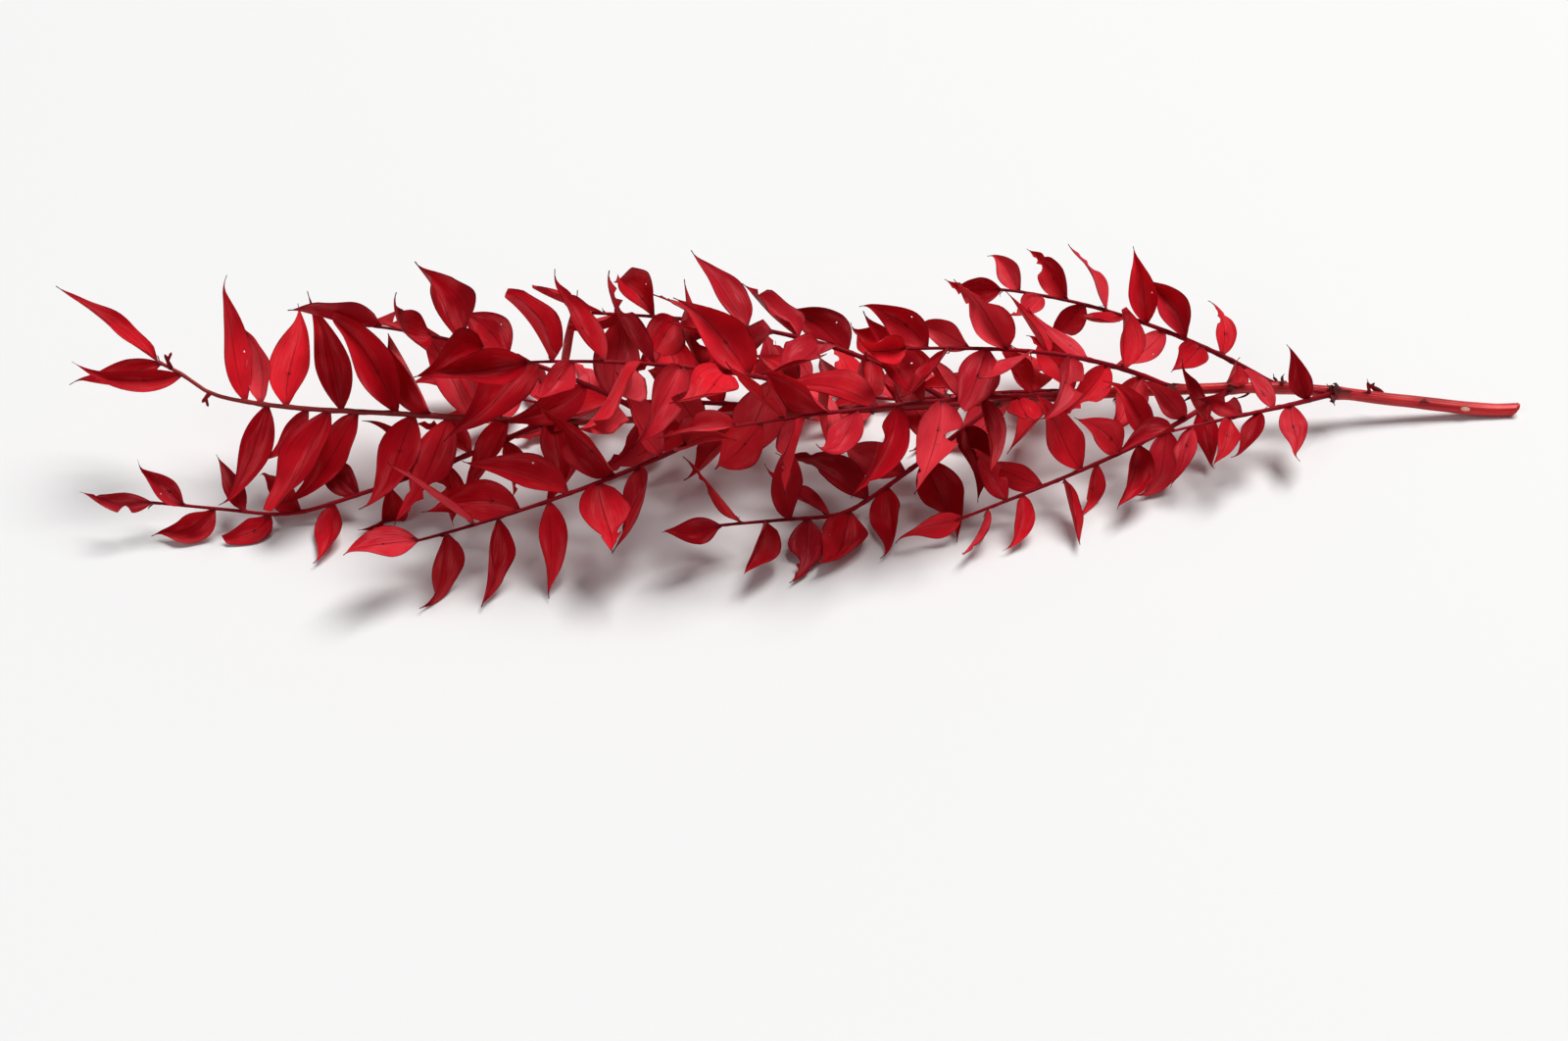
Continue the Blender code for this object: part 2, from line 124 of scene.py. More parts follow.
SHOOT_SEED = 71
SHOOT_ROOT_RADIUS = 1.25 * MM
SHOOT_TIP_RADIUS = 0.55 * MM
SHOOT_STEP = 6 * MM
SHOOT_SAG = 0.24
SHOOT_CLEARANCE = 9 * MM
FIRST_BLADE = 20 * MM

# Blade outline and attitude
WIDEST = 0.38
ROOT_POWER = 0.88
NECK_HALF_WIDTH = 0.55 * MM
SIDE_BLADE_SLENDER = 2.3
BLADE_REST = 0.36 * MM
PRESS_SOFTNESS = 1.6 * MM
SLIDE_HEIGHT = 7 * MM
MIDRIB_STEPS = 24
BLADE_STATIONS = (0, 0.2, 0.42, 0.7, 1)

# Clearance between blades
PROBE_OFFSET = 1.2 * MM
TUBE_MARGIN = 0.8 * MM
TRIES = [
    (0, 0), (18, 0), (-18, 0), (0, 14), (34, 0), (-34, 0), (18, -14), (-18, -14), (50, 8),
    (-50, 8), (66, 0), (-66, 0), (30, 24), (-30, 24), (84, 0), (-84, 0), (0, -30), (105, 0),
    (-105, 0), (130, 10), (-130, 10),
]

# Dry scale leaves and broken twigs on the bare stem: distance from the cut end, or back from
# the tip if below zero (mm), direction round the stem (degrees), length (mm), opening (degrees)
SCALES = [
    (40, 20, 7, 24), (62, -75, 9, 30), (78, 50, 8, 34), (99, -20, 8, 28), (124, 150, 7, 40),
    (149, 95, 7, 36), (226, -150, 7, 40), (278, 100, 6, 45), (400, 60, 6, 50),
]
SCALE_SLENDER = 2.6
STUBS = [(70, 4, 9, 62), (104, -120, 8, 70), (174, 140, 9, 60), (-7, 10, 8, 60), (-26, 160, 6, 70)]
STUB_ROOT_RADIUS = 1.0 * MM
STUB_TIP_RADIUS = 0.75 * MM


def smooth_route(knots, step):
    """Points a step apart along the smooth curve through the knots."""
    points = [Vector(k) for k in knots]
    ends = [2 * points[0] - points[1], *points, 2 * points[-1] - points[-2]]
    fine = []
    for a, b, c, d in zip(ends, ends[1:], ends[2:], ends[3:]):
        for i in range(20):
            t = i / 20
            fine.append(
                0.5 * (2 * b + (c - a) * t + (2 * a - 5 * b + 4 * c - d) * t * t
                       + (3 * b - a - 3 * c + d) * t ** 3)
            )
    fine.append(points[-1])
    spaced, gone = [fine[0]], 0.0
    for start, end in zip(fine, fine[1:]):
        length = (end - start).length
        while gone + length >= step:
            start = start.lerp(end, (step - gone) / length)
            spaced.append(start)
            length = (end - start).length
            gone = 0.0
        gone += length
    if gone > step / 2:
        spaced.append(fine[-1])
    return spaced


class Axis:
    """A stem or twig: points a step apart, read by the distance along them."""

    def __init__(self, points, step, root_radius, tip_radius, taper):
        self.points = points
        self.step = step
        self.length = step * (len(points) - 1)
        self.radii = (root_radius, tip_radius, taper)

    def step_at(self, distance):
        """The number of the point before that distance, and the share of the step beyond it."""
        place = min(max(distance / self.step, 0), len(self.points) - 1.001)
        return int(place), place - int(place)

    def at(self, distance):
        """The point at that distance and the direction there."""
        i, share = self.step_at(distance)
        start, end = self.points[i], self.points[i + 1]
        return start.lerp(end, share), (end - start).normalized()

    def radius(self, distance):
        root, tip, taper = self.radii
        return root + (tip - root) * (distance / self.length) ** taper

    def nearest(self, spot):
        """How far along the axis its point nearest to the spot is."""
        return self.step * min(range(len(self.points)), key=lambda i: (self.points[i] - spot).length)


def across(direction, towards):
    """The part of towards that is square to direction, as a unit vector."""
    return (towards - direction * towards.dot(direction)).normalized()


def any_side(direction):
    """Some direction square to the given one."""
    return across(direction, UP if abs(direction.z) < 0.9 else SIDEWAYS)


def leaning(along, out, degrees):
    """The direction that opens by so many degrees from along towards out."""
    angle = math.radians(degrees)
    return along * math.cos(angle) + out * math.sin(angle)


def round_stem(direction, degrees):
    """The direction square to the stem, degrees round from the top towards -Y."""
    top = across(direction, UP)
    return Matrix.Rotation(-math.radians(degrees), 3, direction) @ top


def turned(vector, degrees, axis):
    return Matrix.Rotation(math.radians(degrees), 3, axis) @ vector


def grow_stem():
    knots = [Vector(k) * MM + CENTRING for k in STEM_KNOTS]
    points = smooth_route(knots, SHOOT_STEP)
    return Axis(points, SHOOT_STEP, STEM_BUTT_RADIUS, STEM_TIP_RADIUS, STEM_TAPER)


def grow_shoot(stem, row, rng):
    """The axis of a side shoot: it leans towards the stem's tip, sags, and slides on the surface."""
    distance, round_angle, opening, length, lean = row[:5]
    root, along = stem.at(distance * MM)
    out = round_stem(along, round_angle)
    heading = leaning(along, out, opening)
    steps = round(length * MM / SHOOT_STEP)
    points, bend = [root], rng.uniform(-18, 18)
    for i in range(steps):
        _, along = stem.at(distance * MM + (i + 1) * SHOOT_STEP * 0.8)
        heading = heading.lerp(along, lean / steps)
        heading = heading.lerp(-UP, SHOOT_SAG / steps)
        heading = turned(heading, bend / steps * math.sin(i / steps * 1.5 * math.pi), UP)
        low = SHOOT_CLEARANCE - points[-1].z
        if low > 0:
            heading.z += low / SHOOT_CLEARANCE * 0.5
        heading.normalize()
        points.append(points[-1] + heading * SHOOT_STEP)
    return Axis(points, SHOOT_STEP, SHOOT_ROOT_RADIUS, SHOOT_TIP_RADIUS, 1.0)


def width_share(t):
    """Half width at t from root to tip, as a share of the greatest: drawn out to a point."""
    fall = ROOT_POWER * (1 - WIDEST) / WIDEST
    return (t / WIDEST) ** ROOT_POWER * ((1 - t) / (1 - WIDEST)) ** fall


class Blade:
    """One leaf-like blade: where it grows, how it points, and how it bends."""

    def __init__(self, root, heading, face, length, width, rng):
        self.root, self.heading, self.face = root, heading, across(heading, face)
        self.length, self.half_width = length, width / 2
        self.sickle = rng.gauss(30, 11)
        self.recurve = rng.gauss(9, 6)
        self.arch = rng.gauss(8, 24)
        self.twist = rng.gauss(0, 22)
        self.fold = math.radians(rng.uniform(6, 38))
        self.side = 1
        self.tone = rng.random()
        self.line = None

    def turn(self, roll, lift, along):
        """A copy turned about the twig that bears it, and lifted towards or from the twig."""
        made = object.__new__(Blade)
        made.__dict__.update(self.__dict__)
        made.heading = turned(self.heading, roll, along)
        made.face = turned(self.face, roll, along)
        hinge = along.cross(made.heading).normalized()
        made.heading = turned(made.heading, lift, hinge)
        made.face = across(made.heading, turned(made.face, lift, hinge))
        made.line = None
        return made

    def midrib(self):
        """Points and directions down the middle of the blade, which slides on the surface."""
        if self.line:
            return self.line
        point, heading, face = self.root.copy(), self.heading.copy(), self.face.copy()
        self.line = [(point.copy(), heading.copy(), face.copy())]
        for i in range(MIDRIB_STEPS):
            t = (i + 0.5) / MIDRIB_STEPS
            sweep = self.sickle - self.recurve * math.pi * math.sin(2 * math.pi * t)
            heading = turned(heading, self.side * sweep / MIDRIB_STEPS, face)
            hinge = heading.cross(face)
            heading = turned(heading, self.arch / MIDRIB_STEPS, hinge)
            face = turned(face, self.arch / MIDRIB_STEPS, hinge)
            face = turned(face, self.twist / MIDRIB_STEPS, heading)
            if heading.z < 0 and point.z < SLIDE_HEIGHT:
                heading.z *= max(point.z / SLIDE_HEIGHT, 0) ** 0.5
                heading.normalize()
                face = across(heading, face)
            point = point + heading * self.length / MIDRIB_STEPS
            self.line.append((point.copy(), heading.copy(), face.copy()))
        return self.line

    def point(self, t, u, offset=0.0):
        """A point of the blade: t from root to tip, u from -1 to 1 across."""
        line = self.midrib()
        place = min(t * MIDRIB_STEPS, MIDRIB_STEPS - 0.001)
        i = int(place)
        middle = line[i][0].lerp(line[i + 1][0], place - i)
        heading = line[i][1].lerp(line[i + 1][1], place - i)
        face = line[i][2].lerp(line[i + 1][2], place - i)
        half = self.half_width * width_share(t)
        if t < WIDEST:
            half = max(half, NECK_HALF_WIDTH)
        side = face.cross(heading)
        made = middle + side * (u * half * math.cos(self.fold))
        made += face * (abs(u) * half * math.sin(self.fold) + offset)
        made.z = BLADE_REST + pressed(made.z - BLADE_REST)
        return made

    def rows(self, offset=0.0):
        return [[self.point(t, u, offset) for u in (-1, 0, 1)] for t in BLADE_STATIONS]


def pressed(height):
    """A height above the surface, where what would sink below it is pressed flat on it."""
    return (height + math.sqrt(height * height + PRESS_SOFTNESS * PRESS_SOFTNESS)) / 2


class Body:
    """A shape to keep clear of, with a ball round it for a first quick test."""

    def __init__(self, points, faces):
        self.tree = BVHTree.FromPolygons(points, faces)
        self.middle = sum(points, Vector()) / len(points)
        self.reach = max((p - self.middle).length for p in points)

    def near(self, other):
        return (self.middle - other.middle).length < self.reach + other.reach

    def crosses(self, other):
        return self.near(other) and bool(self.tree.overlap(other.tree))


def blade_body(blade, offset=0.0):
    rows = blade.rows(offset)
    points = [p for row in rows for p in row]
    faces = []
    for i in range(len(rows) - 1):
        for j in range(2):
            a = i * 3 + j
            faces += [(a, a + 1, a + 3), (a + 1, a + 4, a + 3)]
    return Body(points, faces)


def axis_body(axis, more):
    """A stem or twig as a six-sided tube that is wider by more."""
    points, faces = [], []
    for i, point in enumerate(axis.points):
        _, along = axis.at(i * axis.step)
        side = any_side(along)
        for k in range(6):
            points.append(point + turned(side, 60 * k, along) * (axis.radius(i * axis.step) + more))
    for i in range(len(axis.points) - 1):
        for k in range(6):
            a, b = 6 * i + k, 6 * i + (k + 1) % 6
            faces += [(a, b, a + 6), (b, b + 6, a + 6)]
    return Body(points, faces)


def clear_blade(blade, along, others, own):
    """The blade turned as little as it takes to clear the others, or None where it can't."""
    best = None
    for roll, lift in TRIES:
        tried = blade.turn(roll, lift, along)
        layers = [blade_body(tried, k * PROBE_OFFSET) for k in (-1, 0, 1)]
        if any(layer.crosses(other) for other in others for layer in layers):
            continue
        hits = sum(layers[1].crosses(other) for other in own)
        if best is None or hits < best[0]:
            best = (hits, tried)
        if hits == 0:
            break
    return best[1] if best else None


def blade_at(axis, distance, plane, side, opening, tilt, roll, size, width, rng):
    """A blade on one side of a twig, with the direction of the twig where it grows."""
    root, along = axis.at(distance)
    plane = across(along, plane)
    outward = along.cross(plane) * side
    heading = turned(leaning(along, outward, opening), roll, along)
    blade = Blade(root, heading, turned(plane, tilt, heading), size, width, rng)
    blade.side = side
    return blade, along


def tip_blades(stem, rng):
    """The blades of the main stem itself."""
    return [
        blade_at(stem, stem.length - (back + 0.5) * MM, TIP_FACE, side, opening, tilt,
                 rng.gauss(0, 8), length * MM, width * MM, rng)
        for back, side, length, width, opening, tilt in TIP_BLADES
    ]


def shoot_blades(axis, face, drift, length, pitch, rng):
    """Blades in two rows along a side shoot, with one at its end."""
    made = []
    count = int((axis.length - FIRST_BLADE) / pitch) + 1
    side = rng.choice((-1, 1))
    for i in range(count):
        share = i / max(count - 1, 1)
        last = i == count - 1
        place = min(FIRST_BLADE + i * pitch + rng.uniform(-1.5, 1.5) * MM, axis.length - 1 * MM)
        _, along = axis.at(place)
        plane = turned(across(along, face), drift * (share - 0.5), along)
        opening = 10 if last else rng.gauss(76, 9) - 20 * share
        size = length * (1.08 - 0.34 * abs(share - 0.4) ** 1.2) * rng.uniform(0.84, 1.12)
        width = size / SIDE_BLADE_SLENDER * rng.uniform(0.85, 1.15)
        made.append(blade_at(axis, place, plane, side, opening, rng.gauss(0, 30),
                             rng.gauss(0, 18), size, width, rng))
        side = -side
    return made


def branching(stem, place, round_angle, opening):
    """Where something grows from the stem: the point, the way out, the heading, the radius."""
    distance = place * MM if place >= 0 else stem.length + place * MM
    root, along = stem.at(distance)
    out = round_stem(along, round_angle)
    return root, out, leaning(along, out, opening), stem.radius(distance)


def scale_blade(stem, row, rng):
    """A small dry scale that lies close along the stem."""
    place, round_angle, length, opening = row
    root, out, heading, radius = branching(stem, place, round_angle, opening)
    blade = Blade(root + out * radius * 0.3, heading, out, (length + 3) * MM,
                  length / SCALE_SLENDER * MM, rng)
    blade.arch, blade.fold = -20, math.radians(30)
    return blade


def stub_axis(stem, row):
    """A broken twig on the stem."""
    place, round_angle, length, opening = row
    root, _, heading, _ = branching(stem, place, round_angle, opening)
    tip = root + heading * length * MM
    return Axis([root, tip], length * MM, STUB_ROOT_RADIUS, STUB_TIP_RADIUS, 1.0)


def grow():
    """The broken twigs, and the axis and the blades of the stem and of each side shoot."""
    stem = grow_stem()
    rng = random.Random(SHOOT_SEED - 2)
    scales = [scale_blade(stem, row, rng) for row in SCALES]
    stubs = [stub_axis(stem, row) for row in STUBS]
    shoots = []
    for n, row in enumerate(SIDE_SHOOTS):
        rng = random.Random(SHOOT_SEED + n)
        shoots.append((grow_shoot(stem, row, rng), row, rng))
    tubes = [axis_body(axis, TUBE_MARGIN) for axis in [stem] + [shoot[0] for shoot in shoots]]
    placed = [axis_body(stub, TUBE_MARGIN) for stub in stubs] + [blade_body(b) for b in scales]

    def settle(wanted, own_tube):
        kept, own = [], []
        others = placed + [tube for tube in tubes if tube is not own_tube]
        for blade, along in wanted:
            found = clear_blade(blade, along, others, own)
            if found:
                kept.append(found)
                own.append(blade_body(found))
        placed.extend(own)
        return kept

    blades = settle(tip_blades(stem, random.Random(SHOOT_SEED - 1)), tubes[0])
    grown = [(stem, blades + scales)]
    for (axis, row, rng), tube in zip(shoots, tubes[1:]):
        out = round_stem(stem.at(row[0] * MM)[1], row[1])
        face = out * 0.5 + UP - Vector((0, 0.5, 0)) + Vector([rng.gauss(0, 0.25) for _ in range(3)])
        wanted = shoot_blades(axis, face, rng.uniform(-50, 50), row[5] * MM, row[6] * MM, rng)
        grown.append((axis, settle(wanted, tube)))
    return stubs, grown


# Finished blade, modelled flat: its root at x = 0, its tip towards +X and its midrib on y = 0
FLAT_LENGTH = 45 * MM
FLAT_HALF_WIDTH = 9 * MM
FLAT_ROWS = 22
FLAT_COLUMNS = 8
HAIR_REACH = 1.02
HAIR_HALF_WIDTH = 0.02
TIP_DRAWN_IN = 0.34
NECK_SHARE = 0.075
SHEET_THICKNESS = 0.3 * MM
CREASE_RADIUS = 0.9 * MM
MARGIN_ANGLE = math.radians(50)

# Damage to blades: places as shares of the length and half width, depths as shares of the half width
PINHOLES = [(0.62, 0.30), (0.71, -0.12), (0.40, -0.55)]
PINHOLE_INSET = 0.72 * MM
TIP_BITES = [
    (0.52, 1, 0.05), (0.57, 1, 0.22), (0.62, 1, 0.27), (0.67, 1, 0.25), (0.71, 1, 0.09),
    (0.76, 1, 0.13), (0.81, 1, 0.11), (0.67, -1, 0.07), (0.71, -1, 0.12), (0.76, -1, 0.03),
]
SIDE_TEAR = [(0.29, -1, 0.08), (0.33, -1, 0.36), (0.38, -1, 0.48), (0.43, -1, 0.30), (0.81, 1, 0.10)]
SNAP_PLACE = 0.80
SNAP_SLANT = 0.5
TIP_BLADES_WHOLE = 3
DAMAGE_WEIGHTS = {"whole": 50, "pinholed": 9, "nibbled": 14, "torn": 7, "snapped": 5}

# How a dried blade leaves the flat: cupping, waved margins and a hooked point
CUP = (0.10, 0.14)
ROLLED_SHARE = 0.25
ROLL = 0.38
WAVE_HEIGHT = 1.3 * MM
WAVE_COUNT = (1.1, 2.6)
TWIST = 24
HOOK_START = 0.86
HOOK_STRENGTH = 50 * MM
HOOK_SPREAD = (0.6, 1)
TURNED_OVER_SHARE = 0.3
SCARRED_SHARE = 0.42
SCAR_PLACE = (0.28, 0.42)
FAR_AWAY = 1.0
SCAR_SPOT = (0.9 * MM, 1.3 * MM)
SCAR_RING = 1.7 * MM
SCAR_RING_WIDTH = 0.5 * MM
SCAR_RAGGED = 1.1 * MM
FINISH_SEED = 5

# Dry scales: small bracts under the blades and larger ones at the joints of the stalk
SCALE_ROWS = 9
SCALE_COLUMNS = 4
BRACT_ROWS = 4
BRACT_COLUMNS = 2
BRACT_SIZE = (3.0 * MM, 4.4 * MM)
BRACT_SLENDER = 3.0
BRACT_OPENING = (18, 46)
JOINT_SCALES = 3
JOINT_SCALE_SIZE = (6 * MM, 12 * MM)
JOINT_SCALE_SLENDER = 1.7

# Bark: sides and rings of the tubes, ridges, and the swellings where something grows
STALK_SIDES = 40
STALK_RINGS = (18, 17)
TWIG_SIDES = 14
TWIG_RINGS = (11, 9)
STALK_RIDGES = 9
TWIG_RIDGES = 5
STALK_RIDGE_DEPTH = 0.035
TWIG_RIDGE_DEPTH = 0.06
RIDGE_DRIFT = 3.5
BARK_LUMPS = 0.05
JOINT_REACH = 3.2 * MM
TWIG_BLADE_REACH = 1.5 * MM
STEM_BLADE_REACH = 2.1 * MM
BLADE_JOINT_SWELL = 0.30
TWIG_FLARE = 0.75
FLARE_REACH = 4.5 * MM
TIP_ROUNDING = 1.2 * MM
TIP_SHARE = 0.25


def choose(*objects):
    """Selects these objects and no others, with the first as the active one."""
    bpy.ops.object.select_all(action="DESELECT")
    for obj in objects:
        obj.select_set(True)
    bpy.context.view_layer.objects.active = objects[0]


def edit(obj):
    """Opens one object in edit mode with nothing else selected."""
    choose(obj)
    bpy.ops.object.mode_set(mode="EDIT")


def pick(obj, kind, rule):
    """Selects only those vertices, edges or faces that keep the rule."""
    bpy.ops.mesh.select_mode(type=kind)
    bpy.ops.mesh.select_all(action="DESELECT")
    work = bmesh.from_edit_mesh(obj.data)
    for part in {"VERT": work.verts, "EDGE": work.edges, "FACE": work.faces}[kind]:
        if rule(part):
            part.select_set(True)
    bmesh.update_edit_mesh(obj.data)


def close_edit():
    bpy.ops.object.mode_set(mode="OBJECT")


def finished_share(t):
    """Half width of the finished blade at t, with its neck and its hair-fine point."""
    if t >= 1:
        return HAIR_HALF_WIDTH
    least = NECK_SHARE if t < WIDEST else HAIR_HALF_WIDTH
    drawn_in = 1 - TIP_DRAWN_IN * min(max((t - WIDEST) / (1 - WIDEST), 0), 1)
    return max(width_share(max(t, 0)) * drawn_in, least)


def flat_blade(name, rows, columns):
    """A blade lying flat: a grid whose rows are drawn in to the blade's outline."""
    reach = FLAT_LENGTH * HAIR_REACH
    bpy.ops.mesh.primitive_grid_add(x_subdivisions=rows, y_subdivisions=columns, size=1)
    obj = bpy.context.object
    obj.name = name
    edit(obj)
    bpy.ops.mesh.select_all(action="SELECT")
    bpy.ops.transform.resize(value=(reach, 2 * FLAT_HALF_WIDTH, 1), center_override=(0, 0, 0))
    bpy.ops.transform.translate(value=(reach / 2, 0, 0))
    for row in range(rows + 1):
        x = reach * row / rows
        pick(obj, "VERT", lambda vert: abs(vert.co.x - x) < reach / rows / 3)
        share = finished_share(HAIR_REACH * row / rows)
        bpy.ops.transform.resize(value=(1, share, 1), center_override=(x, 0, 0))
    close_edit()
    return obj


def pierce(obj):
    """Small round holes, as insects leave them."""
    edit(obj)
    for along, aside in PINHOLES:
        x, y = along * FLAT_LENGTH, aside * FLAT_HALF_WIDTH * width_share(along)
        work = bmesh.from_edit_mesh(obj.data)
        spot = Vector((x, y, 0))
        middle = min((f.calc_center_median() for f in work.faces), key=lambda m: (m - spot).length)
        pick(obj, "FACE", lambda face: (face.calc_center_median() - middle).length < 1e-6)
        bpy.ops.mesh.inset(thickness=PINHOLE_INSET)
        bpy.ops.mesh.subdivide(number_cuts=1)
        bpy.ops.transform.tosphere(value=1)
        bpy.ops.mesh.delete(type="FACE")
    close_edit()


def bite(obj, bites):
    """Margins drawn in here and there, where a dry blade is chewed or torn."""
    edit(obj)
    for along, side, depth in bites:
        x = round(along * FLAT_ROWS / HAIR_REACH) * FLAT_LENGTH * HAIR_REACH / FLAT_ROWS
        half = FLAT_HALF_WIDTH * finished_share(x / FLAT_LENGTH)
        for inner, share in ((0.9, 1.0), (0.65, 0.55)):
            pick(obj, "VERT", lambda vert: abs(vert.co.x - x) < 0.2 * MM
                 and inner - 0.2 < side * vert.co.y / half < inner + 0.15)
            bpy.ops.transform.translate(value=(0, -side * depth * share * FLAT_HALF_WIDTH, 0))
    close_edit()


def snap(obj):
    """The tip broken off, a little on the slant."""
    edit(obj)
    bpy.ops.mesh.select_all(action="SELECT")
    bpy.ops.mesh.bisect(
        plane_co=(SNAP_PLACE * FLAT_LENGTH, 0, 0), plane_no=(1, SNAP_SLANT, 0), clear_outer=True
    )
    close_edit()


def thicken(obj, thickness, materials):
    """Gives a flat shape its thickness, with the last material on its under side."""
    for material in materials:
        obj.data.materials.append(material)
    choose(obj)
    bpy.ops.object.modifier_add(type="SOLIDIFY")
    sheet = obj.modifiers[-1]
    sheet.thickness = thickness
    sheet.offset = 0
    sheet.material_offset = len(materials) - 1
    bpy.ops.object.modifier_apply(modifier=sheet.name)
    bpy.ops.object.shade_smooth_by_angle(angle=MARGIN_ANGLE)


def blade_patterns(materials):
    """One flat blade for each kind of damage, from which every blade is copied."""
    made = {}
    for damage in DAMAGE_WEIGHTS:
        obj = flat_blade("pattern_" + damage, FLAT_ROWS, FLAT_COLUMNS)
        if damage == "pinholed":
            pierce(obj)
        elif damage == "nibbled":
            bite(obj, TIP_BITES)
        elif damage == "torn":
            bite(obj, SIDE_TEAR)
        elif damage == "snapped":
            snap(obj)
        thicken(obj, SHEET_THICKNESS, materials)
        made[damage] = obj
    return made


def small_pattern(name, rows, columns, material):
    obj = flat_blade(name, rows, columns)
    thicken(obj, SHEET_THICKNESS, [material])
    return obj


def give_habit(blade, rng):
    """How this blade has dried: its cup, its waves, its hooked point, its scar."""
    blade.cup = rng.gauss(*CUP) + (ROLL if rng.random() < ROLLED_SHARE else 0)
    blade.wave = rng.random() ** 1.2 * WAVE_HEIGHT * min(blade.length / FLAT_LENGTH, 1.1)
    blade.ripples = [(rng.uniform(*WAVE_COUNT), rng.random() * 2 * math.pi) for _ in range(2)]
    blade.hook = [rng.gauss(0, spread) for spread in HOOK_SPREAD]
    blade.end_twist = math.radians(rng.gauss(0, TWIST))
    blade.over = -1 if rng.random() < TURNED_OVER_SHARE else 1
    scarred = rng.random() < SCARRED_SHARE
    blade.scar = blade.length * rng.uniform(*SCAR_PLACE) if scarred else FAR_AWAY


def finished_point(blade, t, share, offset):
    """A point of the finished blade: share is its distance from the midrib in half widths."""
    line = blade.midrib()
    i = min(int(t * MIDRIB_STEPS), MIDRIB_STEPS - 1)
    step = t * MIDRIB_STEPS - i
    middle, heading, face = (line[i][k].lerp(line[i + 1][k], step) for k in range(3))
    side = face.cross(heading)
    twist = blade.end_twist * t * t
    side, face = (side * math.cos(twist) + face * math.sin(twist),
                  face * math.cos(twist) - side * math.sin(twist))
    away = share * blade.half_width
    edge = abs(share) / finished_share(t)
    room = min(1, finished_share(t) * 2)
    count, phase = blade.ripples[share > 0]
    rise = math.sin(blade.fold) * (math.hypot(away, CREASE_RADIUS) - CREASE_RADIUS)
    rise += blade.cup * blade.half_width * edge * edge * room
    rise += blade.wave * edge ** 3 * room * math.sin(2 * math.pi * count * t + phase)
    hook = max(t - HOOK_START, 0) ** 2 * HOOK_STRENGTH
    made = middle + side * (away * math.cos(blade.fold) + blade.hook[1] * hook)
    made += face * (rise + offset + blade.hook[0] * hook)
    made.z = BLADE_REST + pressed(made.z - BLADE_REST)
    return made


def read_by_finish(mesh, place, number):
    """A place and a number at each vertex, which the finish reads."""
    mesh.attributes.new(place, "FLOAT_VECTOR", "POINT")
    mesh.attributes.new(number, "FLOAT", "POINT")
    return mesh.attributes[place].data, mesh.attributes[number].data


def copied(pattern, name):
    """A copy of a pattern with a mesh of its own."""
    obj = bpy.data.objects.new(name, pattern.data.copy())
    bpy.context.collection.objects.link(obj)
    return obj


def grown_copy(pattern, blade, name):
    """A copy of a flat pattern, bent to the place and form of one blade or scale."""
    obj = copied(pattern, name)
    mesh = obj.data
    flat, tone = read_by_finish(mesh, "flat_blade", "tone")
    for vert, spot, shade in zip(mesh.vertices, flat, tone):
        t, share = vert.co.x / FLAT_LENGTH, vert.co.y / FLAT_HALF_WIDTH
        spot.vector = (t * blade.length - blade.scar, share * blade.half_width, 0)
        shade.value = blade.tone
        vert.co = finished_point(blade, t, blade.over * share, blade.over * vert.co.z)
    return obj


def joined(name, objects):
    """One piece made of several objects."""
    choose(*objects)
    bpy.ops.object.join()
    made = bpy.context.object
    made.name = name
    made.data.name = name
    return made


def bract_at(blade, axis, rng):
    """The small dry scale under the root of a blade."""
    root = blade.root
    place = axis.nearest(root)
    _, along = axis.at(place)
    out = across(along, blade.heading)
    heading = leaning(along, out, rng.uniform(*BRACT_OPENING))
    length = rng.uniform(*BRACT_SIZE)
    start = root + out * axis.radius(place) * 0.5 - along * 1.2 * MM
    return small_scale(start, heading, -out, length, length / BRACT_SLENDER, rng)


def small_scale(root, heading, face, length, width, rng):
    """A dry scale, which bends and waves less than a blade."""
    scale = Blade(root, heading, face, length, width, rng)
    scale.sickle, scale.recurve, scale.twist = scale.sickle * 0.3, 0, 0
    scale.fold = math.radians(rng.uniform(20, 50))
    give_habit(scale, rng)
    scale.wave *= 0.3
    scale.over, scale.scar = 1, FAR_AWAY
    return scale


def joint_scales(stem, rng):
    """Torn scales round the joints where the side shoots leave the stalk."""
    made = []
    for row in SIDE_SHOOTS:
        for _ in range(JOINT_SCALES):
            turn = row[1] + rng.uniform(-75, 75)
            place = row[0] - rng.uniform(0.5, 4)
            root, out, heading, radius = branching(stem, place, turn, rng.uniform(14, 44))
            length = rng.uniform(*JOINT_SCALE_SIZE) * (0.55 + 0.45 * radius / STEM_BUTT_RADIUS)
            scale = small_scale(root + out * radius * 0.75, heading, -out, length,
                                length / JOINT_SCALE_SLENDER, rng)
            scale.arch = rng.uniform(-70, 40)
            scale.wave = rng.uniform(0.3, 0.9) * MM
            made.append(scale)
    return made


def carried_sides(axis):
    """A direction square to the axis at each of its points, carried along without a twist."""
    _, along = axis.at(0)
    side = any_side(along)
    made = []
    for i in range(len(axis.points)):
        _, along = axis.at(i * axis.step)
        side = across(along, side)
        made.append(side)
    return made


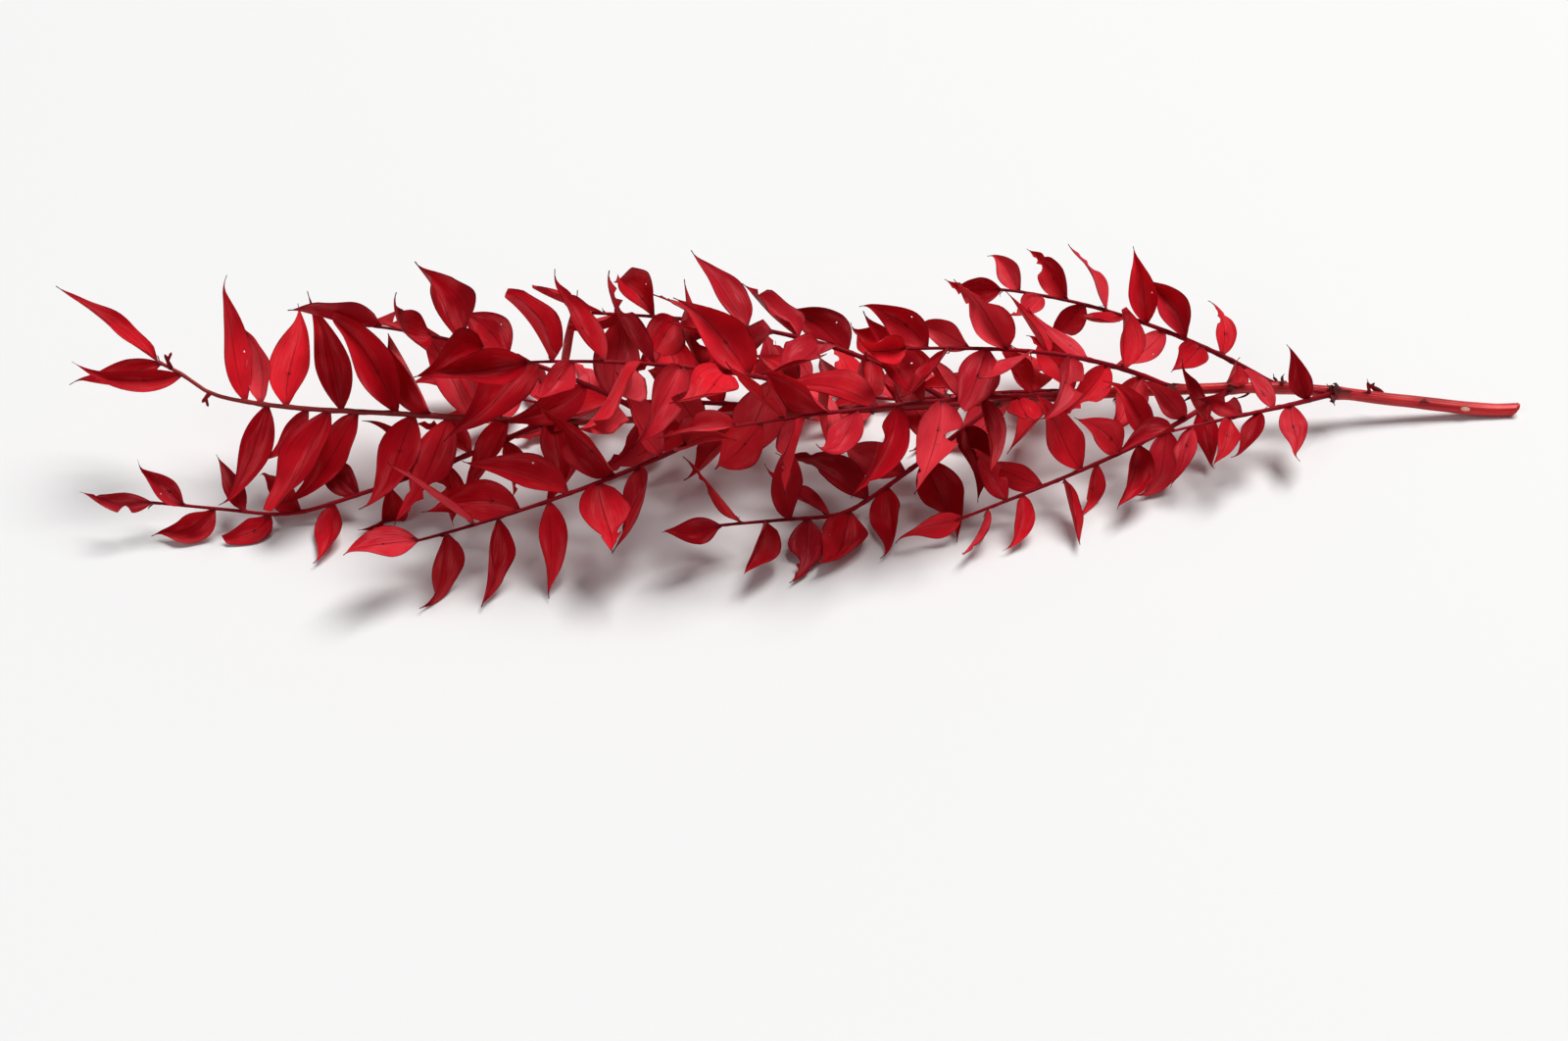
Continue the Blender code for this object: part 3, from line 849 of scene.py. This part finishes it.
class Bark:
    """The bark of an axis: its radius at any place, with ridges and swollen joints."""

    def __init__(self, axis, ridges, depth, flare, seed):
        self.axis, self.ridges, self.depth, self.flare, self.seed = axis, ridges, depth, flare, seed
        self.sides = carried_sides(axis)
        self.joints = []

    def frame(self, distance):
        """The point on the axis, and the three directions there."""
        point, along = self.axis.at(distance)
        i, share = self.axis.step_at(distance)
        side = across(along, self.sides[i].lerp(self.sides[i + 1], share))
        return point, along, side, along.cross(side)

    def add_joint(self, distance, out, swell, reach):
        """Something grows out of the axis there, towards out."""
        _, _, side, other = self.frame(distance)
        self.joints.append((distance, math.atan2(out.dot(other), out.dot(side)), swell, reach))

    def add_blades(self, blades, reach):
        """A small joint at the root of every blade."""
        for blade in blades:
            self.add_joint(self.axis.nearest(blade.root), blade.heading, BLADE_JOINT_SWELL, reach)

    def swelling(self, distance, turn):
        total = 0.0
        for place, towards, swell, reach in self.joints:
            gap = (distance - place) / reach
            if abs(gap) < 3:
                total += swell * math.exp(-gap * gap) * (0.65 + 0.35 * math.cos(turn - towards))
        return total

    def radius(self, distance, turn):
        """The radius there, and how much of a joint it is."""
        swelling = self.swelling(distance, turn)
        ridge = self.depth * math.cos(self.ridges * turn + RIDGE_DRIFT * math.sin(distance * 9))
        spot = Vector((math.cos(turn), math.sin(turn), distance * 90 + self.seed))
        lump = BARK_LUMPS * noise.noise(spot)
        flare = self.flare * math.exp(-((distance / FLARE_REACH) ** 2))
        radius = self.axis.radius(distance) * (1 + swelling + ridge + lump + flare)
        left = self.axis.length - distance
        if left < TIP_ROUNDING:
            share = 1 - left / TIP_ROUNDING
            radius *= max(math.sqrt(max(1 - share * share, 0)), TIP_SHARE)
        return radius, min(swelling * 2, 1)

    def wrap(self, obj):
        """Bends a unit tube, which stands on z from 0 to 1, along the axis and gives it the bark."""
        mesh = obj.data
        bark, joint = read_by_finish(mesh, "bark", "joint")
        for vert, place, swollen in zip(mesh.vertices, bark, joint):
            distance = vert.co.z * self.axis.length
            turn = math.atan2(vert.co.y, vert.co.x)
            point, _, side, other = self.frame(distance)
            radius, swollen.value = self.radius(distance, turn)
            radius *= math.hypot(vert.co.x, vert.co.y)
            place.vector = (math.cos(turn), math.sin(turn), distance + self.seed)
            vert.co = point + (side * math.cos(turn) + other * math.sin(turn)) * radius


def unit_tube(name, sides, divisions, material):
    """A closed tube of radius 1 on z from 0 to 1, its long edges divided again and again."""
    bpy.ops.mesh.primitive_cylinder_add(
        vertices=sides, radius=1, depth=1, end_fill_type="TRIFAN", location=(0, 0, 0.5)
    )
    bpy.ops.object.transform_apply(location=True)
    obj = bpy.context.object
    obj.name = name
    edit(obj)
    for parts in divisions:
        pick(obj, "EDGE", lambda edge: abs(edge.verts[0].co.z - edge.verts[1].co.z) > 1e-6)
        bpy.ops.mesh.subdivide(number_cuts=parts - 1)
    close_edit()
    obj.data.materials.append(material)
    bpy.ops.object.shade_smooth_by_angle(angle=MARGIN_ANGLE)
    return obj


class Finish:
    """A material in the making: each call lays one node and gives back what it puts out."""

    def __init__(self, name, roughness, specular):
        self.material = bpy.data.materials.new(name)
        self.material.use_nodes = True
        self.nodes = self.material.node_tree.nodes
        self.links = self.material.node_tree.links
        self.shader = self.nodes["Principled BSDF"]
        self.give("Roughness", roughness)
        self.give("Specular IOR Level", specular)

    def feed(self, socket, value):
        """Links a socket or sets it; a colour is given as red, green and blue."""
        if isinstance(value, bpy.types.NodeSocket):
            self.links.new(value, socket)
        else:
            socket.default_value = (*value, 1) if socket.type == "RGBA" else value

    def give(self, socket, value):
        self.feed(self.shader.inputs[socket], value)

    def lay(self, kind, inputs, out=0, **settings):
        node = self.nodes.new("ShaderNode" + kind)
        for setting, value in settings.items():
            setattr(node, setting, value)
        for socket, value in inputs.items():
            self.feed(node.inputs[socket], value)
        return node.outputs[out]

    def attribute(self, name, out):
        return self.lay("Attribute", {}, out, attribute_name=name)

    def maths(self, operation, *values):
        return self.lay("Math", dict(enumerate(values)), operation=operation)

    def times(self, value, factor):
        return self.maths("MULTIPLY", value, factor)

    def plus(self, value, more):
        return self.maths("ADD", value, more)

    def sheet(self, spread):
        """Along and across a blade, its tone, and a place whose third part is the blade's own."""
        flat = self.lay("UVMap", {}, uv_map="UVMap")
        along, aside = (self.lay("SeparateXYZ", {0: flat}, k) for k in (0, 1))
        tone = self.attribute("tone", 2)
        place = self.lay("CombineXYZ", {0: along, 1: aside, 2: self.times(tone, spread)})
        return along, aside, tone, place

    def noise(self, vector, scale, detail):
        return self.lay("TexNoise", {"Vector": vector, "Scale": scale, "Detail": detail})

    def stretched(self, vector, factors):
        return self.lay("VectorMath", {0: vector, 1: factors}, operation="MULTIPLY")

    def band(self, value, low, high, first=0.0, last=1.0):
        """Runs smoothly from first to last as the value goes from low to high."""
        places = {"Value": value, "From Min": low, "From Max": high, "To Min": first, "To Max": last}
        return self.lay("MapRange", places, interpolation_type="SMOOTHSTEP")

    def blend(self, share, under, over):
        return self.lay("Mix", {0: share, 6: under, 7: over}, 2, data_type="RGBA")

    def colour_run(self, value, stops):
        """A run of colours over the value, given as places and colours."""
        ramp = self.nodes.new("ShaderNodeValToRGB")
        elements = ramp.color_ramp.elements
        while len(elements) < len(stops):
            elements.new(0.5)
        for element, (place, colour) in zip(elements, stops):
            element.position = place
            element.color = (*colour, 1)
        self.feed(ramp.inputs[0], value)
        return ramp.outputs[0]

    def raise_surface(self, height, strength, distance):
        bump = {"Height": height, "Strength": strength, "Distance": distance}
        self.give("Normal", self.lay("Bump", bump))

    def sheen(self, weight, roughness, tint):
        self.give("Sheen Weight", weight)
        self.give("Sheen Roughness", roughness)
        self.give("Sheen Tint", tint)

    def let_light_through(self, share, colour):
        """Mixes in the light that comes through a thin blade from behind."""
        out = self.nodes["Material Output"].inputs["Surface"]
        glow = self.lay("BsdfTranslucent", {"Color": colour})
        self.feed(out, self.lay("MixShader", {0: share, 1: self.shader.outputs[0], 2: glow}))


# Colours as linear light: dye on blades, painted sheen on blades, dye on bark, dry brown, and bare
# wood
BLADE_DEEP = (0.15, 0.001, 0.005)
BLADE_RED = (0.48, 0.003, 0.012)
BLADE_BRIGHT = (0.92, 0.020, 0.038)
UNDER_DEEP = (0.30, 0.004, 0.012)
UNDER_RED = (0.60, 0.014, 0.030)
UNDER_BRIGHT = (0.94, 0.065, 0.090)
PAINTED_SHEEN_PINK = (0.80, 0.13, 0.15)
GLOW_RED = (0.95, 0.014, 0.024)
MARGIN_BROWN = (0.075, 0.004, 0.006)
POINT_BROWN = (0.030, 0.004, 0.004)
TWIG_DEEP = (0.09, 0.001, 0.006)
TWIG_RED = (0.24, 0.003, 0.011)
TWIG_BRIGHT = (0.40, 0.008, 0.018)
STALK_DEEP = (0.24, 0.003, 0.012)
STALK_RED = (0.50, 0.014, 0.026)
STALK_PINK = (0.78, 0.045, 0.050)
GLOSS_ORANGE = (1.0, 0.45, 0.36)
YOUNG_RED = (0.18, 0.002, 0.008)
SCALE_DARK = (0.06, 0.007, 0.006)
SCALE_BROWN = (0.13, 0.010, 0.010)
SCALE_RED = (0.38, 0.022, 0.024)
WOOD_CREAM = (0.78, 0.47, 0.33)
WOOD_STAINED = (0.62, 0.14, 0.11)
FLOOR_WHITE = (0.746, 0.746, 0.749)
FLOOR_CLOUD = 0.985

# Surfaces: gloss, sheen and clearness of a blade, where the bark grows dark towards the tip
BLADE_GLOSS = 0.08
BLADE_SHEEN = (0.03, 0.45, (1.0, 0.55, 0.58))
LIGHT_THROUGH_BLADE = 0.25
YOUNG_REACH = (120 * MM, 400 * MM)
DARKER = 0.45


def darker(colour):
    """A darker shade of a dye."""
    return tuple(value * DARKER for value in colour)


def blade_finish(name, deep, red, bright, painted_sheen_share, roughness):
    """Dyed blade: uneven dye, fine parallel veins, streaks of painted sheen, painted shade along the
    midrib crease, dark margins and point.
    """
    finish = Finish(name, roughness, BLADE_GLOSS)
    along, aside, tone, sheet = finish.sheet(60)
    solid = finish.lay("TexCoord", {}, 3)
    from_midrib = finish.maths("ABSOLUTE", finish.maths("SUBTRACT", aside, 0.5))

    dye = finish.noise(solid, 38, 3)
    depth = finish.plus(finish.times(tone, 0.55), finish.times(dye, 0.62))
    colour = finish.colour_run(depth, [(0.30, deep), (0.60, red), (0.88, bright)])

    fibres = finish.noise(finish.stretched(sheet, (5, 64, 1)), 1, 2)
    colour = finish.blend(finish.band(fibres, 0.34, 0.62, 0.15, 0.0), colour, darker(deep))

    # Painted sheen: pale pink streaks mixed into the colour stand in for the soft sheen of light on
    # the blade
    painted_sheen_patches = finish.band(finish.noise(finish.stretched(sheet, (2.4, 3.2, 1)), 1, 2), 0.47, 0.70)
    streaks = finish.times(painted_sheen_patches, finish.band(fibres, 0.25, 0.80))
    colour = finish.blend(finish.times(streaks, painted_sheen_share), colour, PAINTED_SHEEN_PINK)

    wave = {"Scale": 4.2, "Distortion": 0.7, "Detail": 1.5, "Detail Scale": 1.4}
    wave["Vector"] = finish.stretched(sheet, (0.35, 1, 1))
    veins = finish.lay("TexWave", wave, 1, bands_direction="Y")
    colour = finish.blend(finish.band(veins, 0.0, 0.35, 0.11, 0.0), colour, darker(deep))

    # Painted shade: the colour is darkened along the midrib crease, as if shade fell in the fold
    crease = finish.band(from_midrib, 0.005, 0.026, 1.0, 0.0)
    colour = finish.blend(finish.times(crease, 0.55), colour, darker(deep))

    specks = finish.band(finish.noise(solid, 1100, 1), 0.68, 0.76, 0.0, 0.3)
    ragged = finish.times(finish.noise(solid, 190, 3), 0.09)
    margin = finish.band(finish.plus(from_midrib, ragged), 0.505, 0.55, 0.0, 0.7)
    tip = finish.band(finish.plus(along, ragged), 0.95, 1.03, 0.0, 0.92)
    neck = finish.band(along, 0.0, 0.09, 0.6, 0.0)
    for share, over in ((specks, MARGIN_BROWN), (margin, MARGIN_BROWN), (tip, POINT_BROWN),
                        (neck, MARGIN_BROWN)):
        colour = finish.blend(share, colour, over)

    flat = finish.attribute("flat_blade", 1)
    from_scar = finish.lay("VectorMath", {0: flat}, 1, operation="LENGTH")
    from_scar = finish.plus(from_scar, finish.times(finish.noise(solid, 900, 2), SCAR_RAGGED))
    scar = finish.band(from_scar, *SCAR_SPOT, 0.9, 0.0)
    from_ring = finish.maths("ABSOLUTE", finish.maths("SUBTRACT", from_scar, SCAR_RING))
    ring = finish.band(from_ring, 0.0, SCAR_RING_WIDTH, 0.8, 0.0)
    broken = finish.band(finish.noise(solid, 500, 1), 0.44, 0.66, 0.0, 0.8)
    scar = finish.maths("MAXIMUM", scar, finish.times(ring, broken))
    finish.give("Base Color", finish.blend(scar, colour, POINT_BROWN))

    finish.give("Roughness", finish.band(fibres, 0.3, 0.7, roughness - 0.09, roughness + 0.12))
    height = finish.noise(finish.stretched(sheet, (7, 9, 1)), 1, 3)
    for relief, share in ((fibres, 0.13), (veins, 0.06), (crease, -0.35)):
        height = finish.plus(height, finish.times(relief, share))
    finish.raise_surface(height, 0.6, 0.5 * MM)
    finish.sheen(*BLADE_SHEEN)
    finish.let_light_through(LIGHT_THROUGH_BLADE, GLOW_RED)
    return finish.material


def bark_finish(name, deep, red, pale, roughness, gloss, young=0):
    """Dyed bark: streaks along the ridges, darker joints, small pores, darker towards the tip."""
    finish = Finish(name, roughness, gloss)
    finish.give("Specular Tint", GLOSS_ORANGE)
    bark = finish.attribute("bark", 1)
    joint = finish.attribute("joint", 2)
    solid = finish.lay("TexCoord", {}, 3)
    streaks = finish.noise(finish.stretched(bark, (2.6, 2.6, 34)), 1, 4)
    clouds = finish.noise(solid, 22, 2)
    depth = finish.plus(finish.times(streaks, 0.6), finish.times(clouds, 0.5))
    colour = finish.colour_run(depth, [(0.36, deep), (0.55, red), (0.74, pale)])
    fibres = finish.noise(finish.stretched(bark, (9, 9, 60)), 1, 2)
    colour = finish.blend(finish.band(fibres, 0.32, 0.6, 0.22, 0.0), colour, darker(deep))
    dots = finish.band(finish.noise(finish.stretched(bark, (5, 5, 900)), 1, 1), 0.70, 0.76, 0.0, 0.7)
    colour = finish.blend(dots, colour, SCALE_BROWN)
    distance = finish.lay("SeparateXYZ", {0: bark}, 2)
    colour = finish.blend(finish.band(distance, *YOUNG_REACH, 0.0, young), colour, YOUNG_RED)
    at_joint = finish.times(finish.band(joint, 0.1, 0.55), finish.band(clouds, 0.2, 0.7, 0.8, 0.3))
    finish.give("Base Color", finish.blend(at_joint, colour, deep))
    finish.give("Roughness", finish.band(fibres, 0.3, 0.7, roughness - 0.07, roughness + 0.14))
    finish.raise_surface(finish.plus(fibres, finish.times(streaks, 0.8)), 0.4, 0.2 * MM)
    return finish.material


def scale_finish(name):
    """Dry papery scales: brown at the point, redder where they grow out, with fine ribs."""
    finish = Finish(name, 0.62, 0.3)
    along, _, _, sheet = finish.sheet(50)
    ribs = finish.noise(finish.stretched(sheet, (3, 22, 1)), 1, 3)
    depth = finish.plus(finish.times(ribs, 0.7), finish.times(along, -0.35))
    stops = [(0.0, SCALE_DARK), (0.2, SCALE_BROWN), (0.45, SCALE_RED)]
    finish.give("Base Color", finish.colour_run(depth, stops))
    finish.raise_surface(ribs, 0.6, 0.2 * MM)
    return finish.material


def wood_finish(name):
    """Bare wood of a cut: cream, stained by the dye in places, with fine pores."""
    finish = Finish(name, 0.7, 0.3)
    solid = finish.lay("TexCoord", {}, 3)
    stain = finish.noise(solid, 320, 3)
    colour = finish.colour_run(stain, [(0.36, WOOD_STAINED), (0.56, WOOD_CREAM)])
    pores = finish.lay("TexVoronoi", {"Vector": solid, "Scale": 2600}, 0)
    pores = finish.band(pores, 0.10, 0.32, 0.75, 0.0)
    finish.give("Base Color", finish.blend(pores, colour, WOOD_STAINED))
    finish.raise_surface(finish.noise(solid, 1500, 2), 0.7, 0.15 * MM)
    return finish.material


def floor_finish():
    finish = Finish("white_floor", 0.75, 0.2)
    cloud = finish.noise(finish.lay("TexCoord", {}, 3), 1.5, 1)
    greyer = tuple(value * FLOOR_CLOUD for value in FLOOR_WHITE)
    finish.give("Base Color", finish.blend(cloud, FLOOR_WHITE, greyer))
    return finish.material


# Cut end, scar and broken twigs
BUTT_INSETS = [(0.24 * MM, 0.02 * MM), (0.4 * MM, -0.05 * MM), (0.4 * MM, 0.03 * MM)]
FLOOR_GAP = 0.02 * MM
SCAR_ON_STALK = (27, 62)
SCAR_RADIUS = 1.7 * MM
SCAR_HEIGHT = 0.5 * MM
SCAR_STRETCH = (1.9, 0.85)
SCAR_UNEVEN = 0.2
SCAR_INSETS = [(0.3 * MM, -0.15 * MM), (0.5 * MM, 0.12 * MM)]
STUB_SIDES = 14
STUB_RINGS = (7,)
STUB_BARK = (3, 0.08, 0.5)
STUB_SLIMMING = 0.72
FORK_SLIMMING = 0.5
STUB_FORK = 0.55
STUB_FORK_LENGTH = 4 * MM
STUB_FORK_TURN = 48


def inset_wood(obj, insets):
    """Steps the picked face in again and again, and makes all inside the first rim bare wood."""
    for thickness, depth in insets:
        bpy.ops.mesh.inset(thickness=thickness, depth=depth)
        obj.active_material_index = 1
        bpy.ops.object.material_slot_assign()


def keep_off_floor(obj):
    """What would sink into the floor is flattened just above it."""
    for vert in obj.data.vertices:
        vert.co.z = max(vert.co.z, FLOOR_GAP)


def open_butt(obj, stem, wood):
    """The cut across the foot of the stalk: a slanted face of bare wood inside a rim of bark."""
    obj.data.materials.append(wood)
    butt, along = stem.at(0)
    reach = CUTTER_SIZE / 2 / math.sin(BUTT_SLANT)
    normal = Vector((-math.sin(BUTT_SLANT), 0, math.cos(BUTT_SLANT)))
    plane = butt - along * (reach - BUTT_TRIM) + normal * CUTTER_SIZE / 2
    edit(obj)
    bpy.ops.mesh.select_all(action="SELECT")
    bpy.ops.mesh.bisect(plane_co=plane, plane_no=normal, use_fill=True, clear_inner=True)
    inset_wood(obj, BUTT_INSETS)
    bpy.ops.mesh.select_all(action="SELECT")
    bpy.ops.mesh.bisect(
        plane_co=(0, 0, FLOOR_GAP), plane_no=(0, 0, 1), use_fill=True, clear_inner=True
    )
    close_edit()


def twig_scar(stem, bark, wood):
    """A pale oval where a twig was cut off flush with the stalk."""
    bpy.ops.mesh.primitive_cylinder_add(
        vertices=20, radius=SCAR_RADIUS, depth=2 * SCAR_HEIGHT, location=(0, 0, 0)
    )
    obj = bpy.context.object
    obj.data.materials.append(bark)
    obj.data.materials.append(wood)
    edit(obj)
    pick(obj, "FACE", lambda face: face.normal.z > 0.9)
    bpy.ops.transform.resize(value=(0.86, 0.86, 1), center_override=(0, 0, SCAR_HEIGHT))
    inset_wood(obj, SCAR_INSETS)
    close_edit()
    root, out, _, radius = branching(stem, *SCAR_ON_STALK, 90)
    _, along = stem.at(SCAR_ON_STALK[0] * MM)
    long, short = SCAR_STRETCH
    turn = Matrix((along * long, out.cross(along) * short, out)).transposed().to_4x4()
    for vert in obj.data.vertices:
        more = 1 + SCAR_UNEVEN * noise.noise(Vector((vert.co.x, vert.co.y, 0)).normalized())
        vert.co.x, vert.co.y = vert.co.x * more, vert.co.y * more
    obj.data.transform(Matrix.Translation(root + out * (radius - SCAR_HEIGHT * 0.6)) @ turn)
    return obj


def broken_twig(pattern, axis, seed, name):
    obj = copied(pattern, name)
    Bark(axis, *STUB_BARK, seed).wrap(obj)
    return obj


def stub_pattern(material):
    """A short broken twig of radius 1 on z from 0 to 1: a knob, then a torn, hollow end."""
    obj = unit_tube("pattern_stub", STUB_SIDES, STUB_RINGS, material)
    rng = random.Random(FINISH_SEED)
    edit(obj)
    pick(obj, "VERT", lambda vert: 0.65 < vert.co.z < 0.9)
    bpy.ops.transform.resize(value=(1.15, 1.15, 1), center_override=(0, 0, 0.8))
    pick(obj, "FACE", lambda face: face.normal.z > 0.9)
    bpy.ops.mesh.inset(thickness=0.3, depth=-0.06)
    close_edit()
    for vert in obj.data.vertices:
        if vert.co.z > 0.92:
            vert.co.z += rng.uniform(-0.05, 0.12)
    return obj


def all_stubs(stubs, material):
    """The broken twigs, each with a shorter fork."""
    pattern = stub_pattern(material)
    made = []
    for n, stub in enumerate(stubs):
        stub.radii = (STUB_ROOT_RADIUS * STUB_SLIMMING, STUB_TIP_RADIUS * STUB_SLIMMING, 1.0)
        made.append(broken_twig(pattern, stub, 3.0 + n, f"stub_{n}"))
        point, along = stub.at(stub.length * STUB_FORK)
        heading = leaning(along, across(along, UP if n % 2 else SIDEWAYS), STUB_FORK_TURN)
        fork = Axis([point, point + heading * STUB_FORK_LENGTH], STUB_FORK_LENGTH,
                    STUB_ROOT_RADIUS * FORK_SLIMMING, STUB_TIP_RADIUS * FORK_SLIMMING, 1.0)
        made.append(broken_twig(pattern, fork, 9.0 + n, f"fork_{n}"))
    bpy.data.objects.remove(pattern)
    return made


def hand_over(piece, node):
    """The piece is hung on the root body and stands for its solid, which is hidden."""
    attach(piece, "root")
    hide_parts(node)


def shade_of(blade, axis_tone, rng):
    blade.tone = min(max(0.5 * axis_tone + 0.5 * blade.tone + rng.uniform(-0.08, 0.08), 0), 1)


def make_blades(name, blades, patterns, rng, whole=0):
    """All blades of a stem as one piece; the first few of them can be told to be whole."""
    kinds, weights = zip(*DAMAGE_WEIGHTS.items())
    axis_tone = rng.random()
    copies = []
    for n, blade in enumerate(blades):
        give_habit(blade, rng)
        shade_of(blade, axis_tone, rng)
        damage = rng.choices(kinds, weights)[0]
        pattern = patterns["whole" if n < whole else damage]
        copies.append(grown_copy(pattern, blade, f"{name}_{n}"))
    return joined(name, copies)


def make_scales(name, scales, pattern):
    return [grown_copy(pattern, scale, f"{name}_{n}") for n, scale in enumerate(scales)]


def make_twig(node, axis, blades, bark_red, bract_pattern, rng):
    bark = Bark(axis, TWIG_RIDGES, TWIG_RIDGE_DEPTH, TWIG_FLARE, rng.uniform(0, 9))
    bark.add_blades(blades, TWIG_BLADE_REACH)
    twig = unit_tube(node + "_bark", TWIG_SIDES, TWIG_RINGS, bark_red)
    bark.wrap(twig)
    keep_off_floor(twig)
    bracts = [bract_at(blade, axis, rng) for blade in blades]
    return joined(node + "_twig", [twig] + make_scales(node + "_bract", bracts, bract_pattern))


def make_stalk(stem, blades, stubs, stalk_bark, twig_bark, wood):
    bark = Bark(stem, STALK_RIDGES, STALK_RIDGE_DEPTH, 0, 0.0)
    for row in SIDE_SHOOTS:
        _, out, _, _ = branching(stem, row[0], row[1], 90)
        bark.add_joint(row[0] * MM, out, JOINT_SWELL, JOINT_REACH)
    bark.add_blades(blades, STEM_BLADE_REACH)
    stalk = unit_tube("stalk_bark", STALK_SIDES, STALK_RINGS, stalk_bark)
    bark.wrap(stalk)
    open_butt(stalk, stem, wood)
    parts = [stalk, twig_scar(stem, stalk_bark, wood)] + all_stubs(stubs, twig_bark)
    made = joined("main_stem_stalk", parts)
    keep_off_floor(made)
    return made


# Picture, in the photograph's 1600 x 1062 frame
FRAME_WIDTH = 1600
FRAME_HEIGHT = 1062
PIXELS_PER_METRE = 2450
STEM_MIDDLE_PIXEL = (830, 425)
STEM_MIDDLE = Vector((0, 0, 0.034))
CAMERA_ELEVATION = math.radians(40)
LENS_MM = 60
SENSOR_MM = 36
FLOOR_SIZE = 12

# Soft boxes that face the stem: place (m), width (m), power (W) and colour
SOFT_BOXES = {
    "main_light": ((2.8, 2.6, 9.3), 6.0, 1190, (1.0, 0.995, 0.98)),
    "fill_light": ((-1.6, -2.0, 2.2), 1.6, 13, (0.97, 0.985, 1.0)),
}
SKY_COLOUR = (0.96, 0.975, 1.0, 1)
SKY_STRENGTH = 0.2


def place_camera():
    bpy.ops.object.camera_add()
    camera = bpy.context.object
    camera.data.lens = LENS_MM
    camera.data.sensor_width = SENSOR_MM
    distance = LENS_MM / SENSOR_MM * FRAME_WIDTH / PIXELS_PER_METRE
    ahead = Vector((0, math.cos(CAMERA_ELEVATION), -math.sin(CAMERA_ELEVATION)))
    up = Vector((0, math.sin(CAMERA_ELEVATION), math.cos(CAMERA_ELEVATION)))
    right = (FRAME_WIDTH / 2 - STEM_MIDDLE_PIXEL[0]) / PIXELS_PER_METRE
    above = (FRAME_HEIGHT / 2 - STEM_MIDDLE_PIXEL[1]) / PIXELS_PER_METRE
    aim = STEM_MIDDLE + SIDEWAYS * right - up * above
    camera.location = aim - ahead * distance
    camera.rotation_euler = ahead.to_track_quat("-Z", "Y").to_euler()
    bpy.context.scene.camera = camera


def soft_box(name, place, size, power, colour):
    bpy.ops.object.light_add(type="AREA", location=place)
    lamp = bpy.context.object
    lamp.name = name
    lamp.data.shape = "DISK"
    lamp.data.size = size
    lamp.data.energy = power
    lamp.data.color = colour
    lamp.rotation_euler = (-Vector(place)).to_track_quat("-Z", "Y").to_euler()


def light_studio():
    for name, settings in SOFT_BOXES.items():
        soft_box(name, *settings)
    world = bpy.data.worlds.new("studio")
    bpy.context.scene.world = world
    world.use_nodes = True
    sky = world.node_tree.nodes["Background"].inputs
    sky[0].default_value, sky[1].default_value = SKY_COLOUR, SKY_STRENGTH
    bpy.context.scene.view_settings.view_transform = "Standard"


def lay_floor():
    bpy.ops.mesh.primitive_plane_add(size=FLOOR_SIZE)
    floor = bpy.context.object
    floor.name = "floor"
    floor.data.materials.append(floor_finish())


def main():
    rng = random.Random(FINISH_SEED)
    # The fourth number is the share of painted sheen streaks, which is larger on the under side
    upper = blade_finish("blade_upper", BLADE_DEEP, BLADE_RED, BLADE_BRIGHT, 0.45, 0.52)
    under = blade_finish("blade_under", UNDER_DEEP, UNDER_RED, UNDER_BRIGHT, 0.75, 0.56)
    dry_scale = scale_finish("dry_scale")
    twig_bark = bark_finish("twig_bark", TWIG_DEEP, TWIG_RED, TWIG_BRIGHT, 0.48, 0.15)
    stalk_bark = bark_finish("stalk_bark", STALK_DEEP, STALK_RED, STALK_PINK, 0.32, 0.65, 0.85)
    wood = wood_finish("cut_wood")
    patterns = blade_patterns([upper, under])
    scale_pattern = small_pattern("pattern_scale", SCALE_ROWS, SCALE_COLUMNS, dry_scale)
    bract_pattern = small_pattern("pattern_bract", BRACT_ROWS, BRACT_COLUMNS, dry_scale)

    stubs, grown = grow()
    stem, borne = grown[0]
    blades, scales = borne[:-len(SCALES)], borne[-len(SCALES):]
    for scale in scales:
        give_habit(scale, rng)
        scale.over, scale.scar = 1, FAR_AWAY
    hand_over(make_stalk(stem, blades, stubs, stalk_bark, twig_bark, wood), "main_stem")
    tip = make_blades("main_stem_blades", blades, patterns, rng, TIP_BLADES_WHOLE)
    hand_over(tip, "main_stem")
    scales += joint_scales(stem, rng)
    dry = make_scales("scale", scales, scale_pattern)
    bracts = [bract_at(blade, stem, rng) for blade in blades]
    dry += make_scales("bract", bracts, bract_pattern)
    hand_over(joined("main_stem_scales", dry), "main_stem")
    for n, (axis, blades) in enumerate(grown[1:], 1):
        node = f"side_shoot_{n:02d}"
        hand_over(make_twig(node, axis, blades, twig_bark, bract_pattern, rng), node)
        hand_over(make_blades(node + "_blades", blades, patterns, rng), node)
    for obj in [*patterns.values(), scale_pattern, bract_pattern]:
        bpy.data.objects.remove(obj)

    lay_floor()
    light_studio()
    place_camera()


main()
